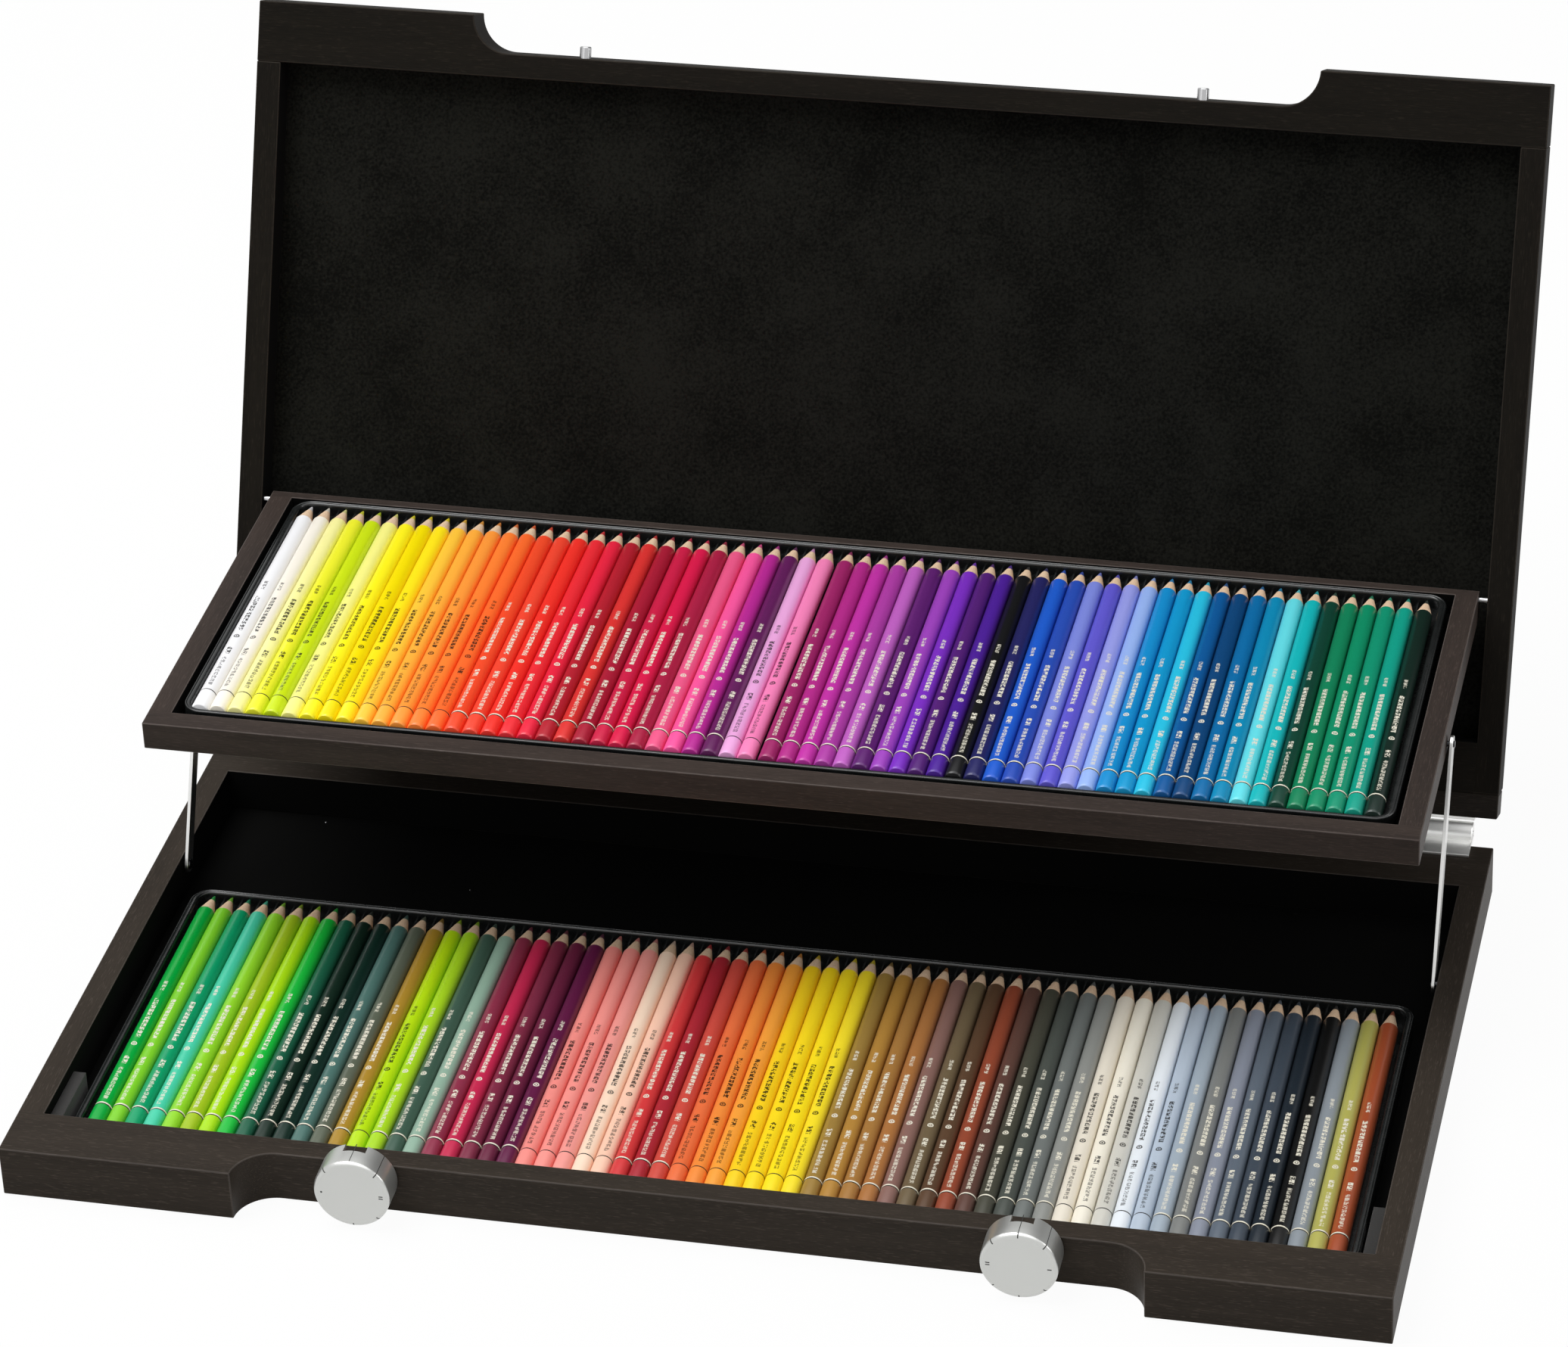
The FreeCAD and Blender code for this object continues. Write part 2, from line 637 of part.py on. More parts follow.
def insert(name, x, y, z, width):
    body = doc.addObject("PartDesign::Body", name + "_body")
    move(body, x, y, z)

    def rectangle(part, side, end, height="0"):
        right, back = "%s - (%s)" % (width, side), "insert_length - (%s)" % end
        corners = ((side, end), (right, end), (right, back), (side, back))
        return outline_sketch(body, name + part, corners, height)

    outer = feature(body, "Pad", name + "_pad", rectangle("_outline", "0", "0"),
                    Length="insert_height")
    doc.recompute()
    uprights = []
    for index, edge in enumerate(outer.Shape.Edges, start=1):
        if abs(abs(edge.tangentAt(edge.FirstParameter).z) - 1) < 1e-6:
            uprights.append("Edge%d" % index)
    corners = body.newObject("PartDesign::Fillet", name + "_corners")
    corners.Base = (outer, uprights)
    bind(corners, Radius="insert_radius")
    room = rectangle("_room", "insert_rim_side", "insert_rim_end", "insert_height")
    feature(body, "Pocket", name + "_pocket", room, Length="pocket_depth")
    under = rectangle("_under", "insert_shell", "insert_shell")
    hollow = feature(body, "Pocket", name + "_hollow", under, Length="shell_hollow")
    hollow.Reversed = True
    return body


LOWER_X = "side_rail + lower_side_gap"
UPPER_X = "tray_x + tray_rail + upper_side_gap"
lower = insert("lower_tray", LOWER_X, "lower_insert_y", "bottom_panel", "lower_insert_width")
node("lower_insert", lower)
upper = insert("upper_tray", UPPER_X, "upper_insert_y", "upper_insert_z", "upper_insert_width")
node("upper_insert", upper, "tray")


# Pencils lie side by side across each insert, points to the back. Each row is as many as
# fit, shared over a few nodes.

def pencils(name, count, pitch, x, y, z, group):
    body = doc.addObject("PartDesign::Body", name + "_body")
    profile = outline_sketch(body, name + "_profile", (
        ("0", "0"),
        ("pencil_radius", "0"),
        ("pencil_radius", "pencil_length - cone_length"),
        ("tip_radius", "pencil_length"),
        ("0", "pencil_length"),
    ))
    turned = body.newObject("PartDesign::Revolution", name + "_turned")
    turned.Profile = profile
    turned.ReferenceAxis = (profile, ["V_Axis"])
    turned.Angle = 360
    doc.recompute()
    row = body.newObject("PartDesign::LinearPattern", name + "_row")
    row.Originals = [turned]
    row.Direction = (profile, ["H_Axis"])
    bind(row, Length="(%s) * %d" % (pitch, count - 1))
    row.Occurrences = count
    body.Tip = row
    move(body, x, y, z)
    node(name, body, group)


def pencil_row(name, groups, first, last, y, z, group, gap_after=None, gap="0"):
    span = reading("%s - (%s) - (%s)" % (last, first, gap))
    count = int(span / reading("2 * pencil_radius + pencil_gap")) + 1
    pitch = "(%s - (%s) - (%s)) / %d" % (last, first, gap, count - 1)
    share = math.ceil(count / groups)
    start = 0
    for index in range(groups):
        stop = count if index + 1 == groups else start + share
        if index + 1 == gap_after:
            stop -= 1
        x = "%s + %d * %s" % (first, start, pitch)
        if gap_after and index >= gap_after:
            x += " + " + gap
        pencils("%s_%d" % (name, index + 1), stop - start, pitch, x, y, z, group)
        start = stop


first = LOWER_X + " + insert_rim_side + lower_slack + pencil_radius"
last = "case_width - (%s)" % first
y = "lower_insert_y + insert_rim_end + insert_play"
z = "bottom_panel + insert_height - pencil_sink"
pencil_row("lower_pencils", 6, first, last, y, z, "base")
first = UPPER_X + " + insert_rim_side + upper_left_slack + pencil_radius"
last = "case_width - (%s + insert_rim_side + upper_right_slack + pencil_radius)" % UPPER_X
y = "upper_insert_y + insert_rim_end + insert_play"
z = "upper_insert_z + insert_height - pencil_sink"
pencil_row("upper_pencils", 4, first, last, y, z, "tray", gap_after=2, gap="upper_row_gap")

# Check every object and shape, then write one file per piece.
doc.recompute()
for item in doc.Objects:
    if "Invalid" in item.State or "Error" in item.State:
        raise RuntimeError("%s: %s" % (item.Name, item.State))
os.makedirs("parts", exist_ok=True)
for item in nodes:
    if item.Shape.isNull() or not item.Shape.isValid():
        raise RuntimeError(item.Label + " has no valid shape")
    box = item.Shape.BoundBox
    print("%-20s %2d solids %9.0f mm3  x %.1f..%.1f  y %.1f..%.1f  z %.1f..%.1f" % (
        item.Label, len(item.Shape.Solids), item.Shape.Volume,
        box.XMin, box.XMax, box.YMin, box.YMax, box.ZMin, box.ZMax))
    item.Shape.exportStep("parts/%s.step" % item.Label)
print(len(nodes), "pieces")
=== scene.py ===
import json
import math

import bmesh
import bpy
from mathutils import Matrix, Vector


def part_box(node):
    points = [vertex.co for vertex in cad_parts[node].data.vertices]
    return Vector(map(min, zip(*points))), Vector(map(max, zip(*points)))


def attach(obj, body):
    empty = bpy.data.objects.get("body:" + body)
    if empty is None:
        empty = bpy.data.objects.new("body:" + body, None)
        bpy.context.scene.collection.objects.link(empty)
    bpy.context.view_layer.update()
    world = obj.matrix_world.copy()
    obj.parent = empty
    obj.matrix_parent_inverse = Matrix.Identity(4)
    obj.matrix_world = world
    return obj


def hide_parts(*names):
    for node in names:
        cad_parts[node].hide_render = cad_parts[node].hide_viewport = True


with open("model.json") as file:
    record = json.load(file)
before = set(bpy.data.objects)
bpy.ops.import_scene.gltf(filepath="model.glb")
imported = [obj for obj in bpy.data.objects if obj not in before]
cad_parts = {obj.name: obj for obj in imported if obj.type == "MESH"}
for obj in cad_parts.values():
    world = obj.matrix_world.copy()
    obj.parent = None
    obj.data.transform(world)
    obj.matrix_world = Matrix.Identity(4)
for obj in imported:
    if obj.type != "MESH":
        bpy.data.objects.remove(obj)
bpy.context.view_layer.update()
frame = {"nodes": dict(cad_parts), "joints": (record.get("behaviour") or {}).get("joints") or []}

# An open artists' case of dark stained wood: pencils in its base and in an upper tray
# that swings up with the lid. The long camera stands in front of it, a little to its
# right and well above it, tipped very slightly.
camera = bpy.data.objects.new("camera", bpy.data.cameras.new("camera"))
bpy.context.scene.collection.objects.link(camera)
bpy.context.scene.camera = camera
camera.location = (0.49883, -1.95332, 1.45421)
camera.rotation_euler = [math.radians(turn) for turn in (57.572, 2.156, 12.593)]
camera.data.lens = 140.5
bpy.context.scene.view_settings.view_transform = "Standard"


# Studio: a pale floor that keeps the case's soft shadow, a surround that metal can mirror,
# bright in front, above and at the left and dim behind the case, and three soft lamps.
def colour(hex_code):
    """The linear value of an sRGB hex colour."""
    parts = [int(hex_code[n:n + 2], 16) / 255 for n in (1, 3, 5)]
    return [(p / 12.92 if p <= 0.04045 else ((p + 0.055) / 1.055) ** 2.4) for p in parts] + [1.0]


def add(tree, kind, inputs=None, **settings):
    """Add a node with its settings; each input is a number, a colour or what feeds it."""
    made = tree.nodes.new(kind)
    for name, value in settings.items():
        setattr(made, name, value)
    for socket, source in (inputs or {}).items():
        if isinstance(source, bpy.types.Node):
            source = source.outputs[0]
        if isinstance(source, bpy.types.NodeSocket):
            tree.links.new(source, made.inputs[socket])
        else:
            made.inputs[socket].default_value = source
    return made


def maths(tree, operation, *values):
    return add(tree, "ShaderNodeMath", dict(enumerate(values)), operation=operation)


def mapped(tree, value, low, high, start=0.0, end=1.0, **settings):
    """Take a value from start..end to low..high."""
    return add(tree, "ShaderNodeMapRange", {"Value": value, "From Min": start, "From Max": end,
                                            "To Min": low, "To Max": high}, **settings)


corner, drop = 3.0, 0.0006
floor_mesh = bpy.data.meshes.new("studio_floor")
floor_mesh.from_pydata([(-corner, -corner, -drop), (corner, -corner, -drop),
                        (corner, corner, -drop), (-corner, corner, -drop)], [], [(0, 1, 2, 3)])
floor = bpy.data.objects.new("studio_floor", floor_mesh)
bpy.context.scene.collection.objects.link(floor)

# White paper: it looks white wherever it is seen, and keeps a share of its shadows.
paper = bpy.data.materials.new("white paper floor")
paper.use_nodes = True
tree = paper.node_tree
tree.nodes.clear()
ray = add(tree, "ShaderNodeLightPath").outputs
seen = maths(tree, "MAXIMUM", ray["Is Camera Ray"], ray["Is Glossy Ray"])
seen = maths(tree, "MAXIMUM", seen, ray["Is Transmission Ray"])
share = maths(tree, "MULTIPLY", seen, 0.955)
matt = add(tree, "ShaderNodeBsdfDiffuse", {"Color": colour("#e6e6e4")})
glow = add(tree, "ShaderNodeEmission", {"Color": colour("#ffffff"), "Strength": 1.0})
mixed = add(tree, "ShaderNodeMixShader", {0: share, 1: matt, 2: glow})
add(tree, "ShaderNodeOutputMaterial", {"Surface": mixed})
floor_mesh.materials.append(paper)

world = bpy.data.worlds.new("studio")
bpy.context.scene.world = world
world.use_nodes = True
tree = world.node_tree
tree.nodes.clear()
way = add(tree, "ShaderNodeTexCoord").outputs["Generated"]
way = add(tree, "ShaderNodeSeparateXYZ", {0: way}).outputs
soft = {"interpolation_type": "SMOOTHSTEP"}
front = mapped(tree, way["Y"], 0.25, 0.95, 0.3, -0.4, **soft)
left = mapped(tree, way["X"], 0.2, 0.8, 0.1, -0.6, **soft)
above = mapped(tree, way["Z"], 0.2, 2.2, 0.62, 0.9, **soft)
mirror = maths(tree, "MAXIMUM", maths(tree, "MAXIMUM", front, left), above)
ray = add(tree, "ShaderNodeLightPath").outputs
mirrored = maths(tree, "MAXIMUM", ray["Is Glossy Ray"], ray["Is Transmission Ray"])
strength = add(tree, "ShaderNodeMix", {"Factor": mirrored, "A": 0.42, "B": mirror})
strength = add(tree, "ShaderNodeMix", {"Factor": ray["Is Camera Ray"], "A": strength,
                                       "B": 1.0})
sky = add(tree, "ShaderNodeBackground", {"Color": colour("#ffffff"), "Strength": strength})
add(tree, "ShaderNodeOutputWorld", {"Surface": sky})

for name, place, aim, width, watts in (
        ("overhead_softbox", (-0.95, -0.1, 2.05), (0.0, 0.05, 0.0), 1.6, 46.0),
        ("front_softbox", (-1.1, -1.7, 1.3), (0.0, 0.0, 0.1), 1.2, 2.5),
        ("right_softbox", (1.7, 0.3, 0.7), (0.275, 0.1, 0.03), 0.9, 7.0)):
    light = bpy.data.lights.new(name, "AREA")
    light.size = width
    light.energy = watts
    lamp = bpy.data.objects.new(name, light)
    lamp.location = place
    lamp.rotation_euler = (Vector(place) - Vector(aim)).to_track_quat("Z", "Y").to_euler()
    lamp.visible_camera = False
    bpy.context.scene.collection.objects.link(lamp)


# Frame of the base: four rails of stained hardwood, planed, with their arrises just
# eased. The front rail is a full bar with a shallow finger bay between two corner
# blocks. The faces towards the pencils are made matt near-black.
mm = 0.001


def principled(name, **inputs):
    """A new material, its tree and its main shader; the shader's sockets are named by words
    joined with _."""
    material = bpy.data.materials.new(name)
    material.use_nodes = True
    tree = material.node_tree
    tree.nodes.clear()
    shader = add(tree, "ShaderNodeBsdfPrincipled", {
        word.replace("_", " "): value for word, value in inputs.items()})
    add(tree, "ShaderNodeOutputMaterial", {"Surface": shader})
    return material, tree, shader


def noise(tree, size, detail=2.0, **inputs):
    """Noise with features of a size in millimetres, on the piece's own coordinates."""
    place = add(tree, "ShaderNodeTexCoord").outputs["Object"]
    return add(tree, "ShaderNodeTexNoise", {"Vector": place, "Scale": 1 / (size * mm),
                                            "Detail": detail, **inputs})


def tint(tree, factor, first, second):
    """Between two colours, each a hex code or what feeds it."""
    first, second = [colour(c) if isinstance(c, str) else c for c in (first, second)]
    return add(tree, "ShaderNodeMix", {"Factor": factor, "A": first, "B": second},
               data_type="RGBA").outputs["Result"]


def surface(tree, shader, shade=None, rough=None, relief=None):
    """Feed a shader its colour, its roughness as (pattern, low, high) and its relief as
    (pattern, strength, depth in millimetres)."""
    if shade:
        tree.links.new(shade, shader.inputs["Base Color"])
    if rough:
        tree.links.new(mapped(tree, *rough).outputs[0], shader.inputs["Roughness"])
    if relief:
        pattern, strength, depth = relief
        bump = add(tree, "ShaderNodeBump", {"Height": pattern, "Strength": strength,
                                            "Distance": depth * mm})
        tree.links.new(bump.outputs[0], shader.inputs["Normal"])


def stained_wood(name, axis, tones, lean=0.0, bare=0.5, gloss=0.45):
    """Open-pored hardwood under a nearly black stain, oiled and rubbed: slow bands of tone
    and fine dark pores along the board give its depth, and short lighter flecks show where
    the stain didn't reach into a vessel. Tones are the dark, the main and the fleck's."""
    wood, tree, shader = principled(name, Specular_IOR_Level=0.05)
    place = add(tree, "ShaderNodeTexCoord").outputs["Object"]

    def streaks(long, wide, detail):
        size = [wide * mm] * 3
        size[axis] = long * mm
        laid = add(tree, "ShaderNodeMapping", {"Vector": place, "Rotation": (-lean, 0, 0),
                                               "Scale": size}, vector_type="TEXTURE")
        return add(tree, "ShaderNodeTexNoise", {"Vector": laid, "Scale": 1.0,
                                                "Detail": detail})

    bands, pores, flecks = streaks(110, 8, 3.0), streaks(10, 0.45, 2.0), streaks(4, 0.42, 1.0)
    dark, main, fleck = tones
    tone = add(tree, "ShaderNodeMix", {"Factor": 0.5, "A": bands, "B": pores})
    shade = tint(tree, mapped(tree, tone, 0.0, 1.0, 0.36, 0.62), dark, main)
    shade = tint(tree, mapped(tree, flecks, 0.0, bare, 0.6, 0.72), shade, fleck)
    surface(tree, shader, shade, (pores, gloss + 0.07, gloss - 0.07), (pores, 0.12, 0.04))
    return wood


def woods(word, tones, highlit_arris_tones, **laid):
    """Wood for boards along X and along Y, and for their arrises, which are paler: partly rubbed
    stain, partly a painted highlight along the edge.
    """
    return (stained_wood("stained %s wood, grain along the case" % word, 0, tones, **laid),
            stained_wood("stained %s wood, grain across the case" % word, 1, tones, **laid),
            stained_wood("stained %s wood, rubbed arris" % word, 0, highlit_arris_tones, **laid))


# The arrises' tones are paler than the boards': partly rubbed stain, partly painted highlight.
wood_x, wood_y, highlit_arris_wood = woods("base", ("#2c2722", "#342e28", "#4d453e"),
                                   ("#3f3a36", "#4c4641", "#5d5650"))

# Matt near-black: it swallows the light round the pencils, and a fine speckle keeps it dull.
near_black, tree, shader = principled("matt near-black", Roughness=0.9,
                                       Specular_IOR_Level=0.08)
speckle = noise(tree, 0.7)
surface(tree, shader, tint(tree, speckle, "#010101", "#050504"), None, (speckle, 0.3, 0.04))


def settle(piece):
    """Work a piece's modifiers into its mesh."""
    bpy.context.view_layer.update()
    depsgraph = bpy.context.evaluated_depsgraph_get()
    mesh = bpy.data.meshes.new_from_object(piece.evaluated_get(depsgraph),
                                           preserve_all_data_layers=True, depsgraph=depsgraph)
    piece.modifiers.clear()
    piece.data = mesh


def make(name, mesh, *materials):
    piece = bpy.data.objects.new(name, mesh)
    bpy.context.scene.collection.objects.link(piece)
    mesh.materials.clear()
    for material in materials:
        mesh.materials.append(material)
    return piece


def mesh_of(shape, smooth_to=None):
    """The mesh of a closed shape, smooth up to an angle in degrees if one is given."""
    bmesh.ops.recalc_face_normals(shape, faces=shape.faces)
    for face in shape.faces:
        face.smooth = smooth_to is not None
    mesh = bpy.data.meshes.new("shape")
    shape.to_mesh(mesh)
    shape.free()
    if smooth_to is not None:
        mesh.set_sharp_from_angle(angle=math.radians(smooth_to))
    return mesh


def skin(shape, lower, upper):
    """Faces between two loops of corners; a loop of one corner is a pole."""
    count = max(len(lower), len(upper))
    for n in range(count):
        after = (n + 1) % count
        corners = (lower[n % len(lower)], lower[after % len(lower)],
                   upper[after % len(upper)], upper[n % len(upper)])
        shape.faces.new(list(dict.fromkeys(corners)))


def prism(outline, axis, start, end):
    """A solid whose outline, in the other two axes, is drawn out from start to end."""
    shape = bmesh.new()
    loops = [[shape.verts.new(tuple(point[:axis]) + (level,) + tuple(point[axis:]))
              for point in outline] for level in (start, end)]
    shape.faces.new(loops[0])
    shape.faces.new(loops[1])
    skin(shape, *loops)
    return mesh_of(shape)


def slab(low, high):
    """A box between two corners."""
    outline = ((low[0], low[1]), (high[0], low[1]), (high[0], high[1]), (low[0], high[1]))
    return prism(outline, 2, low[2], high[2])


def hollow(piece, *tools):
    """Take other solids out of a piece."""
    cutters = [make("tool", mesh) for mesh in tools]
    for cutter in cutters:
        cut = piece.modifiers.new("cut", "BOOLEAN")
        cut.object = cutter
        cut.solver = "EXACT"
    settle(piece)
    for cutter in cutters:
        bpy.data.objects.remove(cutter)


def ease(piece, width, joined=None, arris=-1, sharper_than=32):
    """Round a piece's arrises by a small width, except where it is joined to another, and
    smooth what is curved. The rounding can take a material of its own."""
    shape = bmesh.new()
    shape.from_mesh(piece.data)
    weight = shape.edges.layers.float.new("bevel_weight_edge")
    for edge in shape.edges:
        middle = (edge.verts[0].co + edge.verts[1].co) / 2
        if edge.is_manifold and edge.calc_face_angle() > math.radians(sharper_than):
            kept = joined is not None and joined(middle)
            edge[weight] = 0.0 if kept else 1.0
            edge.smooth = not kept
    for face in shape.faces:
        face.smooth = True
    shape.to_mesh(piece.data)
    shape.free()
    bevel = piece.modifiers.new("arris", "BEVEL")
    bevel.width = width
    bevel.segments = 3
    bevel.limit_method = "WEIGHT"
    bevel.use_clamp_overlap = True
    bevel.harden_normals = True
    bevel.material = arris
    settle(piece)
    return piece


def part_edges(piece, *places, axis=0):
    """Part a rail's edges at places along an axis, where other rails meet it."""
    shape = bmesh.new()
    shape.from_mesh(piece.data)
    for place in places:
        at, across = Vector(), Vector()
        at[axis], across[axis] = place, 1.0
        bmesh.ops.bisect_plane(shape, geom=shape.verts[:] + shape.edges[:] + shape.faces[:],
                               plane_co=at, plane_no=across)
    shape.to_mesh(piece.data)
    shape.free()
    return piece


def meets(x, y):
    """Whether a point lies on a full-width rail's joint with a side rail, or on its end."""
    return lambda at: abs(at.y - y) < 0.1 * mm and abs(at.x) > x - 0.1 * mm


def blacken_inside(piece, middle, reach=0.3):
    """Give the second material to upright faces that look at the middle of the frame."""
    for face in piece.data.polygons:
        for n in (0, 1):
            away = middle[n] - face.center[n]
            if abs(face.normal[n]) > 0.9 and face.normal[n] * away > 0 and abs(away) < reach:
                face.material_index = 1


def fit(piece, body, slot, *nodes):
    """Fix a finished piece to its body and hide the solids it stands for; the slot naming its
    finish is not used.
    """
    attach(piece, body)
    if nodes:
        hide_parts(*nodes)


def bay_outline(low, high, block, depth, steps=20):
    """Plan of a front rail: corner blocks round into the bay as quarter circles."""
    left, right = low[0], high[0]
    points = [(left, high[1]), (left, low[1]), (left + block, low[1])]
    for n in range(1, steps + 1):
        turn = math.pi / 2 * n / steps
        points.append((left + block + depth * (1 - math.cos(turn)),
                       low[1] + depth * math.sin(turn)))
    points += [(left + right - x, y) for x, y in reversed(points)]
    return points


block, bay = 94.7 * mm, 15.6 * mm
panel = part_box("base_bottom_panel")
rabbet = (panel[0] - Vector((0, 0, mm)), panel[1])
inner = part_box("base_right_rail")[0].x
low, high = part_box("base_front_rail")
front_bar = prism(bay_outline(low, high, block, bay), 2, low[2], high[2])
for word, mesh, joint_y, away in (
        ("front", front_bar, high.y, mm),
        ("back", slab(*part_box("base_back_rail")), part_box("base_back_rail")[0].y, -mm)):
    rail = make(word + "_rail_of_base", mesh, wood_x, near_black, highlit_arris_wood)
    hollow(rail, slab(*rabbet))
    ease(part_edges(rail, -inner, inner), 0.5 * mm, meets(inner, joint_y), 2)
    blacken_inside(rail, (0, joint_y + away), 2 * mm)
    fit(rail, "base", "dark_wood", "base_%s_rail" % word)


def side_rail(side, body, rabbet, wood, arris, width, middle):
    """A rail of the base or the tray, butted between the front and the back rail."""
    low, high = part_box("%s_%s_rail" % (body, side))
    rail = make("%s_rail_of_%s" % (side, body), slab(low, high), wood, near_black, arris)
    hollow(rail, slab(*rabbet))
    ease(rail, width, lambda at: min(at.y - low.y, high.y - at.y) < 0.1 * mm, 2)
    blacken_inside(rail, middle)
    fit(rail, body, "dark_wood", "%s_%s_rail" % (body, side))


for side in ("left", "right"):
    side_rail(side, "base", rabbet, wood_y, highlit_arris_wood, 0.5 * mm, (0, 0))


# Bottom of the base: a thin panel let into the rails' rabbets, matt near-black, with
# a few small nails whose heads just show.
bottom = ease(make("bottom_of_base", slab(*panel), near_black), 0.25 * mm)
fit(bottom, "base", "panel_wood", "base_bottom_panel")


def turned(profile, steps=48):
    """A solid turned about Z from its profile of radii and heights, pole to pole."""
    shape = bmesh.new()
    turns = [2 * math.pi * n / steps for n in range(steps)]
    rings = [[shape.verts.new((radius * math.cos(turn), radius * math.sin(turn), height))
              for turn in (turns if radius > 1e-7 else (0.0,))] for radius, height in profile]
    for lower, upper in zip(rings, rings[1:]):
        skin(shape, lower, upper)
    return mesh_of(shape, 35)


def brushed_metal(name, hex_code, roughness, grit, metallic=1.0):
    """Bare metal, whose shine is broken up by fine grit of a size in millimetres."""
    metal, tree, shader = principled(name, Base_Color=colour(hex_code), Metallic=metallic)
    grains = noise(tree, grit, 3.0)
    surface(tree, shader, None, (grains, roughness * 0.75, roughness * 1.25),
            (grains, 0.1, 0.02))
    return metal


# Polished steel, of pins, screws and nails: small sharp glints.
steel = brushed_metal("polished steel", "#b9b9ba", 0.22, 0.5)


def set_out(name, piece, places, materials, roll=0.0, slide=0.0, seed=1, **facts):
    """Repeat a piece at many places, each with its own small roll about its length and
    slide along it. A face takes the material of its part number, or else the first."""
    points = bpy.data.meshes.new(name + "_places")
    points.from_pydata(places, [], [])
    for fact, values in facts.items():
        kind, field = ("FLOAT_COLOR", "color") if fact == "paint" else ("FLOAT", "value")
        layer = points.attributes.new(fact, kind, "POINT")
        for item, value in zip(layer.data, values):
            setattr(item, field, value)
    row = make(name, points)
    tree = bpy.data.node_groups.new(name + "_row", "GeometryNodeTree")
    sockets = {}
    for label, kind, way in (("Places", "Geometry", "INPUT"), ("Piece", "Object", "INPUT"),
                             ("Roll", "Float", "INPUT"), ("Slide", "Float", "INPUT"),
                             ("Seed", "Int", "INPUT"), ("Row", "Geometry", "OUTPUT")):
        sockets[label] = tree.interface.new_socket(name=label, in_out=way,
                                                   socket_type="NodeSocket" + kind)
    given = add(tree, "NodeGroupInput").outputs
    shape = add(tree, "GeometryNodeObjectInfo", {"Object": given["Piece"]})
    own = add(tree, "GeometryNodeStoreNamedAttribute", {
        "Geometry": shape.outputs["Geometry"], "Name": "own_place",
        "Value": add(tree, "GeometryNodeInputPosition")}, data_type="FLOAT_VECTOR")

    def drawn(most, seed):
        """A random length along Y, up to the most either way."""
        length = add(tree, "FunctionNodeRandomValue", {
            2: maths(tree, "MULTIPLY", most, -1.0), 3: most, "Seed": seed}, data_type="FLOAT")
        return add(tree, "ShaderNodeCombineXYZ", {"Y": length.outputs[1]})

    turn = drawn(given["Roll"], given["Seed"])
    push = drawn(given["Slide"], maths(tree, "ADD", given["Seed"], 1.0))
    moved = add(tree, "GeometryNodeSetPosition", {"Geometry": given["Places"], "Offset": push})
    copies = add(tree, "GeometryNodeInstanceOnPoints", {"Points": moved, "Instance": own,
                                                        "Rotation": turn})
    whole = add(tree, "GeometryNodeRealizeInstances", {"Geometry": copies})
    part = add(tree, "GeometryNodeInputNamedAttribute", {"Name": "part"}, data_type="INT")
    for number, material in enumerate(materials):
        same = add(tree, "FunctionNodeCompare", {2: part, 3: number}, data_type="INT",
                   operation="EQUAL")
        whole = add(tree, "GeometryNodeSetMaterial", {"Geometry": whole, "Selection": same,
                                                      "Material": material})
    add(tree, "NodeGroupOutput", {"Row": whole})
    repeat = row.modifiers.new("row", "NODES")
    repeat.node_group = tree
    for label, value in (("Piece", piece), ("Roll", roll), ("Slide", slide), ("Seed", seed)):
        repeat[sockets[label].identifier] = value
    settle(row)
    bpy.data.objects.remove(piece)
    return row


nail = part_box("base_brads")
radius = 0.9 * mm
head = turned([(0, -0.5 * mm), (radius, -0.5 * mm), (radius, 0), (radius * 0.7, 0.13 * mm),
               (0, 0.2 * mm)], 16)
across, along = nail[1].x - nail[0].x - 2 * radius, nail[1].y - nail[0].y - 2 * radius
places = [(nail[0].x + radius + across * x, nail[0].y + radius + along * y, panel[1].z)
          for x, y in ((0, 1), (0.1795, 0), (1, 1))]
nails = set_out("nails_in_bottom", make("nail", head), places, [steel])
fit(nails, "base", "steel", "base_brads")


# Stop blocks in the front corners, which the closed tray comes down on: strips of black
# wool felt, cut with a knife and glued in, so their edges are soft and a little fuzzy.

# The sheen gives the felt its dusty edge, the hairs its dull mottling.
felt, tree, shader = principled("black wool felt", Roughness=1.0, Specular_IOR_Level=0.1,
                                Sheen_Weight=0.25, Sheen_Roughness=0.6)
hairs = noise(tree, 0.45, 4.0, Distortion=1.5)
surface(tree, shader, tint(tree, hairs, "#090908", "#353331"), None, (hairs, 0.6, 0.12))
for side in ("left", "right"):
    stop = ease(make("felt_stop_" + side, slab(*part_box("stop_block_" + side)), felt), 0.3 * mm)
    fit(stop, "base", "felt", "stop_block_" + side)


# Moulded insert of the lower layer: one sheet of black polystyrene, heated and drawn over
# a former, so its rim is rolled and glossy, and low ribs part the pencils.

# The sheet's slow thinning where it was drawn changes its gloss, and fine pits blur it.
polystyrene, tree, shader = principled("black polystyrene, vacuum formed",
                                       Specular_IOR_Level=0.6)
draw, pits = noise(tree, 6.25), noise(tree, 0.55)
surface(tree, shader, tint(tree, draw, "#101212", "#1c1e1e"), (draw, 0.22, 0.32),
        (pits, 0.15, 0.03))


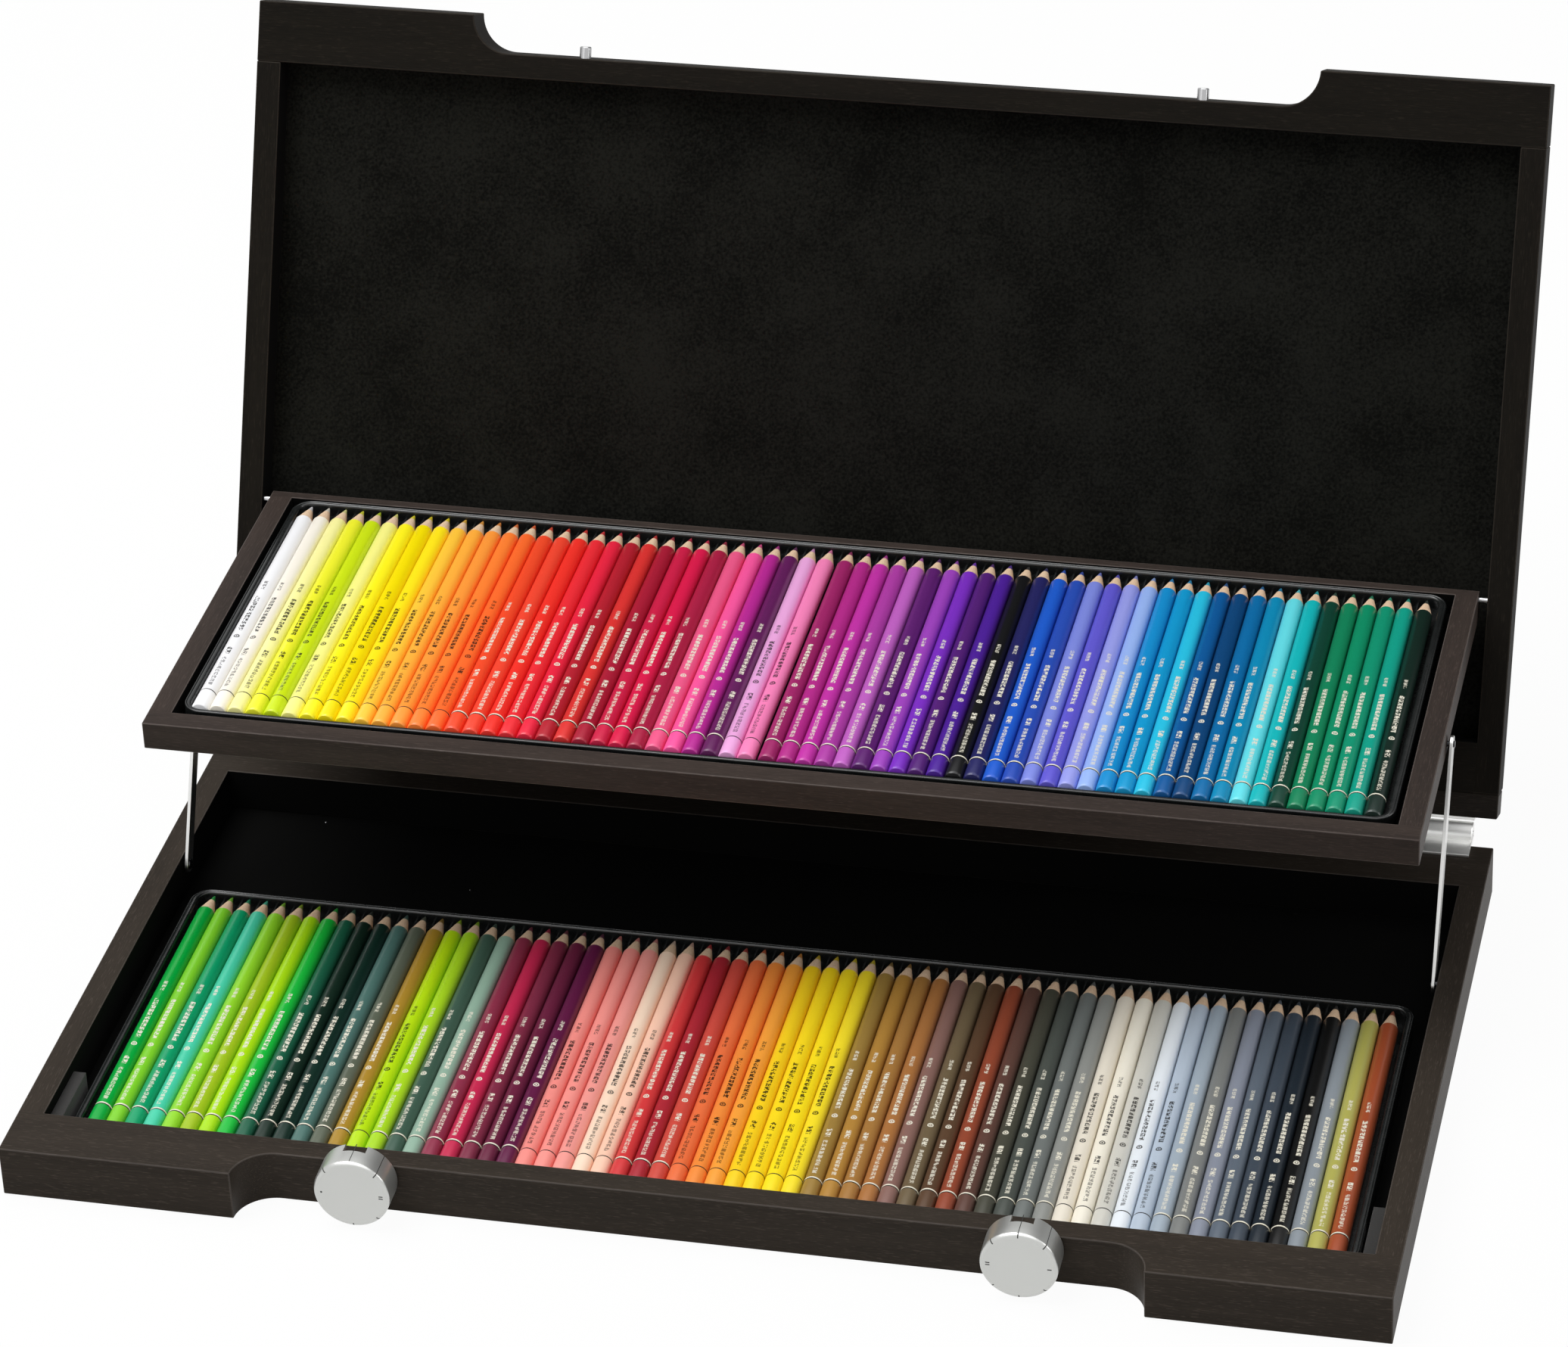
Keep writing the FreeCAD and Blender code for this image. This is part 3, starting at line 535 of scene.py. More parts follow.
def rounded(low, high, side, end, radius, steps=8):
    """Corners of a rectangle drawn in by side and end, rounded."""
    points = []
    for quarter, (x, y) in enumerate(((1, 1), (-1, 1), (-1, -1), (1, -1))):
        centre = (high[0] - side - radius if x > 0 else low[0] + side + radius,
                  high[1] - end - radius if y > 0 else low[1] + end + radius)
        for n in range(steps + 1):
            turn = math.pi / 2 * (quarter + n / steps)
            points.append((centre[0] + radius * math.cos(turn),
                           centre[1] + radius * math.sin(turn)))
    return points


def drawn_tray(low, high, floor_level):
    """A shallow tray with a rolled rim; its wall is given as insets, radius and drop."""
    wall = [(0, 0, 8.5, None), (0, 0, 8.5, 1.0), (0.06, 0.05, 8.45, 0.45),
            (0.25, 0.2, 8.3, 0.12), (0.55, 0.45, 8.0, 0), (0.8, 0.65, 7.75, 0.04),
            (1.05, 0.85, 7.5, 0.24), (1.3, 1.0, 7.25, 0.04), (2.4, 1.6, 6.15, 0),
            (2.7, 1.82, 5.85, 0.14), (3.0, 2.12, 5.5, 0.45), (3.2, 2.3, 5.2, 0.95),
            (3.2, 2.3, 3.0, 3.2)]
    shape = bmesh.new()
    loops = []
    for side, end, radius, drop in wall + [(3.2, 2.3, 3.0, (high[2] - floor_level) / mm)]:
        level = low[2] if drop is None else high[2] - drop * mm
        outline = rounded(low, high, side * mm, end * mm, radius * mm)
        loops.append([shape.verts.new((x, y, level)) for x, y in outline])
    for lower, upper in zip(loops, loops[1:]):
        skin(shape, lower, upper)
    shape.faces.new(loops[0])
    shape.faces.new(loops[-1])
    return mesh_of(shape, 40)


pencil_r = 3.75 * mm
rib_height = 2.3 * mm


def rib(length):
    """The ridge between two beds: its sides are hollowed to the pencils' round."""
    sides = []
    for n in range(9):
        height = rib_height * n / 8
        sides.append((pencil_r - math.sqrt(pencil_r ** 2 - (pencil_r - height) ** 2)
                      + 0.02 * mm, height))
    outline = [(-x, z) for x, z in sides] + [(x, z) for x, z in reversed(sides)]
    mesh = prism(outline, 1, 0, length)
    for face in mesh.polygons:
        face.use_smooth = True
    mesh.set_sharp_from_angle(angle=math.radians(40))
    return make("rib", mesh)


def row_of(group, spans):
    """Pencils' axes across a layer, from the solids: spans are first node, last node and
    how many pencils lie evenly from the one's left to the other's right."""
    middles = []
    for first, last, count in spans:
        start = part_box("%s_%d" % (group, first))[0].x + pencil_r
        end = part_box("%s_%d" % (group, last))[1].x - pencil_r
        middles += [start + (end - start) * n / (count - 1) for n in range(count)]
    return middles


def pencil_bed(name, body, node, row_node, middles):
    """An insert and its ribs, one between each two pencils, from wall to wall."""
    low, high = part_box(node)
    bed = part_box(row_node)[0].z - 0.05 * mm
    wall = 2.3 * mm
    fit(make(name, drawn_tray(low, high, bed), polystyrene), body, "moulded_plastic", node)
    gaps = [((a + b) / 2, low.y + wall, bed) for a, b in zip(middles, middles[1:])]
    ribs = set_out(name + "_ribs", rib(high.y - low.y - 2 * wall), gaps, [polystyrene])
    fit(ribs, body, "moulded_plastic")


lower_row = row_of("lower_pencils", ((1, 6, 66),))
pencil_bed("lower_insert_tray", "base", "lower_insert", "lower_pencils_1", lower_row)


# Pencils: round cedar barrels dipped in gloss lacquer, a foil ring and a thin dark line of
# painted shadow at the dip coat's edge near the dipped end, foil marks along the top, and
# turned points. Every pencil has the colour of its lead.

# The lacquer's coat gives each barrel its long soft highlight, and a ripple in the film
# breaks it up. The foil marks are generic bars and dots on a grid, in stretches along the
# barrel. The ramp's red is half a stretch's height in millimetres, its green how well the
# foil took.
lacquer, tree, shader = principled("nitrocellulose lacquer on cedar", Coat_Weight=0.2,
                                   Specular_IOR_Level=0.35, Coat_Roughness=0.1)


def told(tree, name, output):
    """What a row's places, or the piece set out, tell about each face."""
    return add(tree, "ShaderNodeAttribute", attribute_name=name).outputs[output]


paint = told(tree, "paint", "Color")
number = told(tree, "number", "Fac")
own = told(tree, "own_place", "Vector")
own = add(tree, "ShaderNodeVectorMath", {0: own, "Scale": 1 / mm}, operation="SCALE")
own = add(tree, "ShaderNodeSeparateXYZ", {0: own}).outputs
PENCIL_LENGTH = 164.0
CELL_WIDE, CELL_LONG, FOIL_GAPS = 0.47, 0.56, 0.27
GROUP_LONG, GROUP_SHARE = 2.5, 0.8
DOT_AT = 53.0
stretches = add(tree, "ShaderNodeValToRGB", {"Fac": maths(tree, "DIVIDE", own["Y"],
                                                          PENCIL_LENGTH)})
ramp = stretches.color_ramp
ramp.interpolation = "CONSTANT"
for start, half, took in ((14.5, 0.9, 0.7), (36, 0, 0), (39, 1.06, 1), (44, 0, 0),
                          (57, 1.0, 1), (84, 0, 0), (90, 0.8, 0.75), (96.5, 0, 0)):
    ramp.elements.new(start / PENCIL_LENGTH).color = (half, took, 0, 1)
for end in (0, -1):
    ramp.elements[end].color = (0, 0, 0, 1)
stretches = add(tree, "ShaderNodeSeparateColor", {0: stretches}).outputs
inside = maths(tree, "LESS_THAN", maths(tree, "ABSOLUTE", own["X"]), stretches["Red"])
cell = add(tree, "ShaderNodeCombineXYZ", {
    "X": maths(tree, "FLOOR", maths(tree, "DIVIDE", own["X"], CELL_WIDE)),
    "Y": maths(tree, "FLOOR", maths(tree, "DIVIDE", own["Y"], CELL_LONG)), "Z": number})
chance = add(tree, "ShaderNodeTexWhiteNoise", {"Vector": cell}, noise_dimensions="3D")
struck = maths(tree, "GREATER_THAN", chance, FOIL_GAPS)
beat = maths(tree, "FRACT", maths(tree, "DIVIDE", own["Y"], GROUP_LONG))
beat = maths(tree, "LESS_THAN", beat, GROUP_SHARE)
marks = maths(tree, "MULTIPLY", maths(tree, "MULTIPLY", inside, struck), beat)
marks = maths(tree, "MULTIPLY", marks, stretches["Green"])
# A ring round a dot stands by itself before the long stretch.
from_dot = add(tree, "ShaderNodeCombineXYZ", {
    "X": own["X"], "Y": maths(tree, "SUBTRACT", own["Y"], DOT_AT)})
from_dot = add(tree, "ShaderNodeVectorMath", {0: from_dot}, operation="LENGTH")
from_dot = from_dot.outputs["Value"]
ringed_dot = maths(tree, "MAXIMUM", maths(tree, "COMPARE", from_dot, 1.0, 0.26),
                   maths(tree, "LESS_THAN", from_dot, 0.45))
marks = maths(tree, "MAXIMUM", marks, ringed_dot)
marks = maths(tree, "MULTIPLY", marks, maths(tree, "GREATER_THAN", own["Z"], 0.0))


def pale_and_warm(tree, paint):
    """1 on lacquers so pale and warm that silver foil wouldn't show on them."""
    part = add(tree, "ShaderNodeSeparateColor", {0: paint}).outputs
    least = maths(tree, "MINIMUM", part["Green"], maths(tree, "MULTIPLY", part["Red"], 0.27))
    return maths(tree, "GREATER_THAN", least, 0.12)


# Foil is silver on deep lacquers and nearly black on pale warm ones.
foil = tint(tree, pale_and_warm(tree, paint), "#e2ddcc", tint(tree, 0.92, paint, "#191510"))
film = noise(tree, 1.1)
surface(tree, shader, tint(tree, marks, paint, foil), (film, 0.3, 0.42), (film, 0.12, 0.03))

# The thin dark line is painted shadow at the edge of the dip coat, dull against the ring.
# The ring's foil is creased, so that its roughness varies, and its lighter patches are
# painted glints; on pale warm lacquers it is the lacquer's own colour.
dip_shadow_line, tree, shader = principled("dark line of painted shadow at the dip edge", Specular_IOR_Level=0.3)
film = noise(tree, 0.65)
surface(tree, shader, tint(tree, film, "#0b0908", "#1c1815"), (film, 0.38, 0.52))
pale_foil, tree, shader = principled("pale gold foil", Metallic=0.1, Specular_IOR_Level=0.4)
paint = told(tree, "paint", "Color")
creases_and_glints = noise(tree, 0.65)
# Lighter patches of the foil's colour are painted glints; the creases also vary its roughness.
shade = tint(tree, creases_and_glints, "#dcd5bd", "#fbf8ea")
surface(tree, shader, tint(tree, pale_and_warm(tree, paint), shade, paint),
        (creases_and_glints, 0.3, 0.5))

# The cut cedar is dull, with long fibres towards the point; the lead shows its grit.
cedar, tree, shader = principled("sharpened cedar", Roughness=0.75, Specular_IOR_Level=0.2)
own = told(tree, "own_place", "Vector")
number = told(tree, "number", "Fac")
shift = add(tree, "ShaderNodeCombineXYZ", {"X": number, "Z": number})
own = add(tree, "ShaderNodeVectorMath", {0: own, 1: shift}, operation="ADD")
fibres = add(tree, "ShaderNodeMapping", {"Vector": own, "Scale": (0.4 * mm, 6 * mm, 0.4 * mm)},
             vector_type="TEXTURE")
fibres = add(tree, "ShaderNodeTexNoise", {"Vector": fibres, "Scale": 1.0, "Detail": 3.0})
surface(tree, shader, tint(tree, fibres, "#c39f7e", "#ecd3b6"))

lead, tree, shader = principled("coloured lead", Roughness=0.6, Specular_IOR_Level=0.35)
paint = told(tree, "paint", "Color")
grit = mapped(tree, noise(tree, 0.4), 0.3, 0.75)
surface(tree, shader, tint(tree, grit, "#2a2622", paint))


def pencil():
    """One pencil, its dipped end at the origin and its point along +Y."""
    steps = 28
    profile = ((0, 0, 0), (2.6, 0, 0), (3.3, 0.2, 0), (3.62, 0.6, 0), (3.75, 1.3, 0),
               (3.75, 11.5, 0), (3.75, 11.52, 1), (3.75, 12.06, 1), (3.75, 12.08, 2),
               (3.75, 12.8, 2), (3.74, 12.84, 0), (3.74, 151.1, 0), (3.67, 151.3, 0),
               (3.6, 151.35, 3), (2.6, 155.3, 3), (1.5, 159.6, 3), (1.46, 159.7, 4),
               (0.55, 163.2, 4), (0.3, 163.85, 4), (0, 164.0, 4))
    mesh = turned([(radius * mm, height * mm) for radius, height, part in profile], steps)
    parts = mesh.attributes.new("part", "INT", "FACE")
    parts.data.foreach_set("value", [part for radius, height, part in profile[1:]
                                     for n in range(steps)])
    mesh.transform(Matrix.Rotation(-math.pi / 2, 4, "X"))
    return make("pencil", mesh)


def pencils(name, node, middles, chart, seed):
    """Lay a row of pencils in its bed, one for each colour of the chart."""
    low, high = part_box(node)
    places = [(x, low.y, low.z + pencil_r) for x in middles]
    colours = [colour("#" + code) for code in chart.split()]
    return set_out(name, pencil(), places, [lacquer, dip_shadow_line, pale_foil, cedar, lead],
                   roll=0.16, slide=0.25 * mm, seed=seed, paint=colours,
                   number=[float(n + 1) for n in range(len(places))])


# The lower row runs through greens, earths, flesh tones and oranges to greys.
LOWER_COLOURS = """
    00a13c 7ccb2a 0b9a66 46c9a4 8fd22a 9fbf1e a8dc12 18b53c 195a41 10261c 0f2a22
    4b6f68 5a6152 a8842c b6de12 a6d422 3f5a4c 8fae9b 8a3048 c0284e 7a2a42 66203c
    5e1a42 f28e86 f4948c f09a92 fadcc4 f8c8b0 d03a3c a82834 cc4c40 e87040 f08c3c
    f5a03c f8d020 fada20 fae020 f6de2c 9a7b3c b0823a a3753c a8703e 86645c 6b5c44
    58402e 904630 5c4038 46463c 4b504b 6e7371 8e908c e8e0d0 f2ecdc cfcdc4 e8eef4
    b6c3d2 a0adb9 7c7e7c 878d9b 5d6773 3e4752 1e262e 101010 8a9299 b0ac58 a04c2c
"""
layer = pencils("lower_pencil_row", "lower_pencils_1", lower_row, LOWER_COLOURS, 4)
fit(layer, "base", "pencils_lower", *["lower_pencils_%d" % n for n in range(1, 7)])


# Latch knobs: cups turned from aluminium bar, their faces blasted to a fine satin. Each
# turns on a spindle; a notch in the rear edge lets the lid's pin in, and short cut lines
# and a dot show how far the knob is turned.

# The blasted face is one even pale grey, the turned edge round it a bright line.
aluminium = brushed_metal("turned aluminium, fine blasted", "#c9cac7", 0.32, 0.28, 0.85)
# The cut lines and the dot are near-black: painted shade in the cuts.
shaded_cut_line = brushed_metal("cut line in aluminium, dark with painted shade", "#242422", 0.5, 0.2, 0.3)


def shoulder_line(profile, clock, width, start=0.0):
    """A cut line, all in millimetres, laid over a turned profile at a clock angle and
    starting at a depth."""
    kept = [(a, b) for a, b in profile if b <= -start]
    outer = [(a + 0.012, b + 0.012) for a, b in kept]
    inner = [(a - 0.15, b - 0.15) for a, b in kept]
    outline = [(a * mm, b * mm) for a, b in outer + inner[::-1]]
    mesh = prism(outline, 0, -width / 2 * mm, width / 2 * mm)
    mesh.transform(Matrix.Rotation(math.radians(-clock), 4, "Z"))
    return mesh


# The knob's disc lies this much below its rim, in millimetres.
SUNK = -0.12


def face_mark(clock, radius, size):
    """A short cut line on the knob's face, its length to the middle, in millimetres."""
    wide, long = size[0] / 2 * mm, size[1] / 2 * mm
    mesh = slab((-wide, -long, -0.3 * mm), (wide, long, SUNK * mm))
    mesh.transform(Matrix.Rotation(math.radians(-clock), 4, "Z")
                   @ Matrix.Translation((0, radius * mm, 0)))
    return mesh


def knob(name, node, marks):
    """A knob; its marks are clock angles of lines over the shoulder, of lines down the
    side and of short lines on the face, and the clock angle of a dot."""
    low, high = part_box(node)
    r, deep, round_r = (high.x - low.x) / 2 / mm, 13.0, 1.7
    tail = (high.y - low.y) / mm
    shoulder = [(r - round_r + round_r * math.sin(math.radians(turn)),
                 -0.02 - round_r + round_r * math.cos(math.radians(turn)))
                for turn in range(0, 91, 10)]
    side = shoulder + [(r, -6.0), (r, -deep + 0.25)]
    profile = [(0, SUNK - 0.02), (r - 2.3, SUNK - 0.02), (r - 2.0, -0.02)] + side + [
        (r - 0.25, -deep), (r - 1.5, -deep), (r - 1.8, -deep + 0.3),
        (r - 1.8, -2.5), (r - 2.3, -2.0), (6.0, -2.0), (5.5, -2.4), (5.5, -tail + 0.2),
        (5.3, -tail), (3.05, -tail), (3.05, -2.0), (0, -2.0)]
    cup = make(name, turned([(a * mm, b * mm) for a, b in profile], 96), aluminium, shaded_cut_line)
    hollow(cup, slab((-4.5 * mm, 10.5 * mm, -14 * mm), (4.5 * mm, 17 * mm, -8.5 * mm)))
    ease(cup, 0.12 * mm, sharper_than=38)
    marks_r, short = r - 3.3, (0.45, 1.7)
    lines = [shoulder_line(shoulder, clock, 0.45) for clock in marks["shoulder"]]
    lines += [shoulder_line(side, clock, 0.3, round_r) for clock in marks["side"]]
    lines += [face_mark(clock, marks_r, short) for clock in marks["single"]]
    lines += [face_mark(clock + shift, marks_r, short) for clock in marks["double"]
              for shift in (-2.4, 2.4)]
    if "dot" in marks:
        dot = turned([(0, -0.2 * mm), (0.42 * mm, -0.2 * mm), (0.42 * mm, 0), (0, 0)], 20)
        dot.transform(Matrix.Rotation(math.radians(-marks["dot"]), 4, "Z")
                      @ Matrix.Translation((0, marks_r * mm, SUNK * mm)))
        lines.append(dot)
    shape = bmesh.new()
    shape.from_mesh(cup.data)
    for mesh in lines:
        first = len(shape.faces)
        shape.from_mesh(mesh)
        shape.faces.ensure_lookup_table()
        for face in shape.faces[first:]:
            face.material_index = 1
    shape.to_mesh(cup.data)
    shape.free()
    middle = ((low.x + high.x) / 2, low.y, (low.z + high.z) / 2)
    cup.data.transform(Matrix.Translation(middle) @ Matrix.Rotation(math.pi / 2, 4, "X"))
    return cup


def pin(name, node, axis, end=0.3, turn=Matrix()):
    """A pin turned to a solid's size along an axis, its ends chamfered."""
    low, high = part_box(node) if turn == Matrix() else closed_box(node, turn)
    length = high[axis] - low[axis]
    radius = (high[axis - 1] - low[axis - 1]) / 2
    step = end * mm
    mesh = turned([(0, 0), (radius - step, 0), (radius, step), (radius, length - step),
                   (radius - step, length), (0, length)], 32)
    lay = (Matrix.Rotation(math.pi / 2, 4, "Y"), Matrix.Rotation(-math.pi / 2, 4, "X"),
           Matrix())[axis]
    start = [(a + b) / 2 for a, b in zip(low, high)]
    start[axis] = low[axis]
    mesh.transform(turn @ Matrix.Translation(start) @ lay)
    return make(name, mesh, steel)


KNOB_MARKS = {
    "left": {"shoulder": (-45, 45, 135, 180), "side": (0, 45), "single": (), "double": (90,),
             "dot": -90},
    "right": {"shoulder": (-45, 0, 45, 180, 135, -135), "side": (0, 45), "single": (90,),
              "double": (-90,)}}
for side in ("left", "right"):
    cup = knob("latch_knob_" + side, "knob_" + side, KNOB_MARKS[side])
    fit(cup, "knob_" + side, "knob_aluminium", "knob_" + side)
    spindle = pin("knob_spindle_pin_" + side, "knob_spindle_" + side, 1)
    fit(spindle, "base", "steel", "knob_spindle_" + side)


# Links that keep the tray level: flat bars of bright steel with round ends, punched, with
# a headed pin through each end.

# The bars are pale and smooth; the heads of their pins are nearly black.
bright_steel = brushed_metal("bright rolled steel", "#dededc", 0.3, 0.5)
blued_steel = brushed_metal("blued steel", "#454547", 0.25, 0.5)


def headed_pin(name, node, head_low, head_radius=2.2):
    """A pin along X with a domed head at its low or high end."""
    low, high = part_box(node)
    length = (high.x - low.x) / mm
    profile = [(0, 0), (1.5, 0.04), (head_radius - 0.15, 0.22), (head_radius, 0.45),
               (head_radius, 0.6), (1.2, 0.6), (1.2, length - 0.15), (1.05, length),
               (0, length)]
    mesh = turned([(a * mm, b * mm) for a, b in profile], 32)
    middle = [(a + b) / 2 for a, b in zip(low, high)]
    middle[0] = low.x if head_low else high.x
    lay = Matrix.Rotation(math.pi / 2 if head_low else -math.pi / 2, 4, "Y")
    mesh.transform(Matrix.Translation(middle) @ lay)
    return make(name, mesh, blued_steel)


joints = {joint["name"]: joint for joint in frame["joints"]}
foot = joints["link_left_pivot"]["pos_m"]
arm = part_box("link_screw_left")
head = Vector(((arm[0].y + arm[1].y) / 2 - foot[1], (arm[0].z + arm[1].z) / 2 - foot[2]))
for side in ("left", "right"):
    low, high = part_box("link_" + side)
    wide, reach, along = 3.5 * mm, head.length, math.atan2(head.y, head.x)
    outline = []
    for centre, start in ((0.0, 90), (reach, -90)):
        for n in range(17):
            turn = math.radians(start + 180 * n / 16)
            outline.append((centre + wide * math.cos(turn), wide * math.sin(turn)))
    bar = make("link_bar_" + side, prism(outline, 0, low.x, high.x), bright_steel)
    bar.data.transform(Matrix.Translation((0, foot[1], foot[2]))
                       @ Matrix.Rotation(along, 4, "X"))
    fit(ease(bar, 0.22 * mm), "link_" + side, "steel", "link_" + side)
    peg = headed_pin("link_peg_pin_" + side, "link_peg_" + side, side == "right")
    fit(peg, "base", "steel", "link_peg_" + side)
    screw = headed_pin("link_screw_pin_" + side, "link_screw_" + side, side == "left", 1.3)
    fit(screw, "tray", "steel", "link_screw_" + side)


# Hinge: two leaves of extruded aluminium with knuckles in turn on one long pin, the base's
# leaf screwed down on the back rail and the lid's leaf to the batten's rear face.

# Its satin takes the light in soft bands along the barrel.
hinge_metal = brushed_metal("drawn aluminium, satin", "#f6f6f4", 0.36, 0.35, 0.8)
hinge = joints["lid_hinge"]
opened = math.radians(hinge["range_deg"][1])
# From the closed lid, counted from the hinge's axis, to the open one in its place.
at_hinge = Matrix.Translation((0, hinge["pos_m"][1], hinge["pos_m"][2]))
LID = at_hinge @ Matrix.Rotation(-opened, 4, "X")


def closed_box(node, turn=LID):
    """A solid's corners in its closed place, counted from the hinge's axis."""
    back = turn.inverted()
    points = [back @ vertex.co for vertex in frame["nodes"][node].data.vertices]
    return (Vector([min(p[n] for p in points) for n in range(3)]),
            Vector([max(p[n] for p in points) for n in range(3)]))


def leaf(name, low, high, section, room, turns, count=5):
    """A leaf from low to high along X: a section drawn along it, open from the room's
    edge where the other leaf's knuckles turn, and its own knuckles."""
    length = (high - low) / count
    gap, barrel, bore, chamfer = 0.15 * mm, 5.0 * mm, 1.65 * mm, 0.35 * mm
    plate = make("plate", prism(section, 0, low, high))
    rooms = [slab((low + length * n - gap, room, -9 * mm),
                  (low + length * (n + 1) + gap, 9 * mm, 9 * mm))
             for n in range(count) if n not in turns]
    hollow(plate, *rooms)
    ease(plate, 0.15 * mm)
    shape = bmesh.new()
    shape.from_mesh(plate.data)
    bpy.data.objects.remove(plate)
    for n in turns:
        start, end = low + length * n + gap, low + length * (n + 1) - gap
        wide = end - start
        profile = [(bore, 0), (barrel - chamfer, 0), (barrel, chamfer),
                   (barrel, wide - chamfer), (barrel - chamfer, wide), (bore, wide),
                   (bore, 0)]
        knuckle = turned(profile, 64)
        knuckle.transform(Matrix.Translation((start, 0, 0))
                          @ Matrix.Rotation(math.pi / 2, 4, "Y"))
        shape.from_mesh(knuckle)
    bmesh.ops.remove_doubles(shape, verts=shape.verts, dist=1e-7)
    return make(name, mesh_of(shape, 30), hinge_metal)


low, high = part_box("hinge_base_leaf")
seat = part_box("base_back_rail")[1].z - hinge["pos_m"][2]
front, thick = low.y - hinge["pos_m"][1], 1.2 * mm
section = ((front, seat), (0, seat), (0, seat + thick), (front, seat + thick))
base_leaf = leaf("hinge_leaf_of_base", low.x, high.x, section, -5.3 * mm, (0, 2, 4))
base_leaf.data.transform(at_hinge)
fit(base_leaf, "base", "hinge_aluminium", "hinge_base_leaf")
low, high = closed_box("hinge_lid_leaf")
rear = low.y + thick
section = ((low.y, 0), (0, 0), (0, thick), (rear, thick), (rear, high.z), (low.y, high.z))
lid_leaf = leaf("hinge_leaf_of_lid", low.x, high.x, section, rear, (1, 3))
lid_leaf.data.transform(LID)
fit(lid_leaf, "lid", "hinge_aluminium", "hinge_lid_leaf")
fit(pin("hinge_pin_rod", "hinge_pin", 0), "base", "steel", "hinge_pin")


def countersunk(name, places, flip):
    """Cross-headed screws along a leaf, their heads flush with it."""
    profile = [(0, 0), (1.9 * mm, 0), (2.2 * mm, -0.12 * mm), (1.2 * mm, -1.2 * mm),
               (1.2 * mm, -2.2 * mm), (0, -2.2 * mm)]
    screw = make("screw", turned(profile, 24))
    half, thin, deep = 1.1 * mm, 0.22 * mm, 0.5 * mm
    hollow(screw, slab((-half, -thin, -deep), (half, thin, deep)),
           slab((-thin, -half, -deep), (thin, half, deep)))
    screw.data.transform(flip)
    return set_out(name, screw, places, [steel])


low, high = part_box("hinge_base_screws")
head_r = 2.2 * mm
steps = [low.x + head_r + (high.x - low.x - 2 * head_r) * n / 4 for n in range(5)]
places = [(x, (low.y + high.y) / 2, high.z) for x in steps]
fit(countersunk("hinge_screws_of_base", places, Matrix()), "base", "steel",
    "hinge_base_screws")
low, high = closed_box("hinge_lid_screws")
places = [(x, high.y, (low.z + high.z) / 2) for x in steps]
screws = countersunk("hinge_screws_of_lid", places, Matrix.Rotation(-math.pi / 2, 4, "X"))
screws.data.transform(LID)
fit(screws, "lid", "steel", "hinge_lid_screws")


# Lid: a front rail with the same bay as the base's, two stiles, a lower rail and a
# separate batten that carries the hinge, all of the same stained wood. A thin panel lies
# in their rabbets, flush outside.
LID_LAID = {"lean": opened, "bare": 0.35, "gloss": 0.62}
# The lid's tones are darker than the base's: painted shade, as the leaning lid takes less light.
# Its arris tones are paler: partly rubbed stain, partly painted highlight.
lid_wood_x, lid_wood_y, lid_highlit_arris = woods("lid", ("#100e0b", "#171410", "#2d2822"),
                                          ("#211d19", "#2a2621", "#38332c"), **LID_LAID)
cover = closed_box("lid_panel")
rabbet = (cover[0], cover[1] + Vector((0, 0, mm)))


def lid_piece(name, mesh, wood, width, joined=None, parted=()):
    """A board of the lid's frame, made as it lies when the lid is closed."""
    piece = make(name, mesh, wood, near_black, lid_highlit_arris)
    hollow(piece, slab(*rabbet))
    return ease(part_edges(piece, *parted, axis=1), width * mm, joined, 2)


low, high = closed_box("lid_front_rail")
rail = lid_piece("front_rail_of_lid", prism(bay_outline(low, high, block, bay), 2, low.z,
                                            high.z), lid_wood_x, 0.55)
for face in rail.data.polygons:
    if face.normal.y > 0.9 and face.center.y > high.y - mm:
        face.material_index = 1
rail.data.transform(LID)
fit(rail, "lid", "dark_wood", "lid_front_rail")
middle = (0.0, (cover[0].y + cover[1].y) / 2)
# The lower rail's joints with the stiles don't show.
low, high = closed_box("lid_lower_rail")
for word, node, wood in (("left_stile", "lid_left_stile", lid_wood_y),
                         ("right_stile", "lid_right_stile", lid_wood_y),
                         ("lower_rail", "lid_lower_rail", lid_wood_x)):
    piece = lid_piece(word + "_of_lid", slab(*closed_box(node)), wood, 0.5,
                      lambda at: (abs(abs(at.x) - high.x) < 0.1 * mm
                                  and at.y > low.y - 0.1 * mm), (low.y,))
    blacken_inside(piece, middle)
    piece.data.transform(LID)
    fit(piece, "lid", "dark_wood", node)
batten_wood = stained_wood("stained batten wood, grain along the case", 0,
                           ("#1c1916", "#26221e", "#39332d"), opened)
batten = make("hinge_batten_of_lid", slab(*closed_box("lid_hinge_batten")), batten_wood,
              lid_highlit_arris)
ease(batten, 0.6 * mm, arris=1)
batten.data.transform(LID)
fit(batten, "lid", "dark_wood", "lid_hinge_batten")
board = ease(make("panel_of_lid", slab(*cover), lid_wood_x), 0.3 * mm)
board.data.transform(LID)
fit(board, "lid", "panel_wood", "lid_panel")


# Lining of the lid: black cotton velvet glued to the panel and pressed to the frame. Its
# short pile has no shine, only a faint mottling where it lies in different ways.

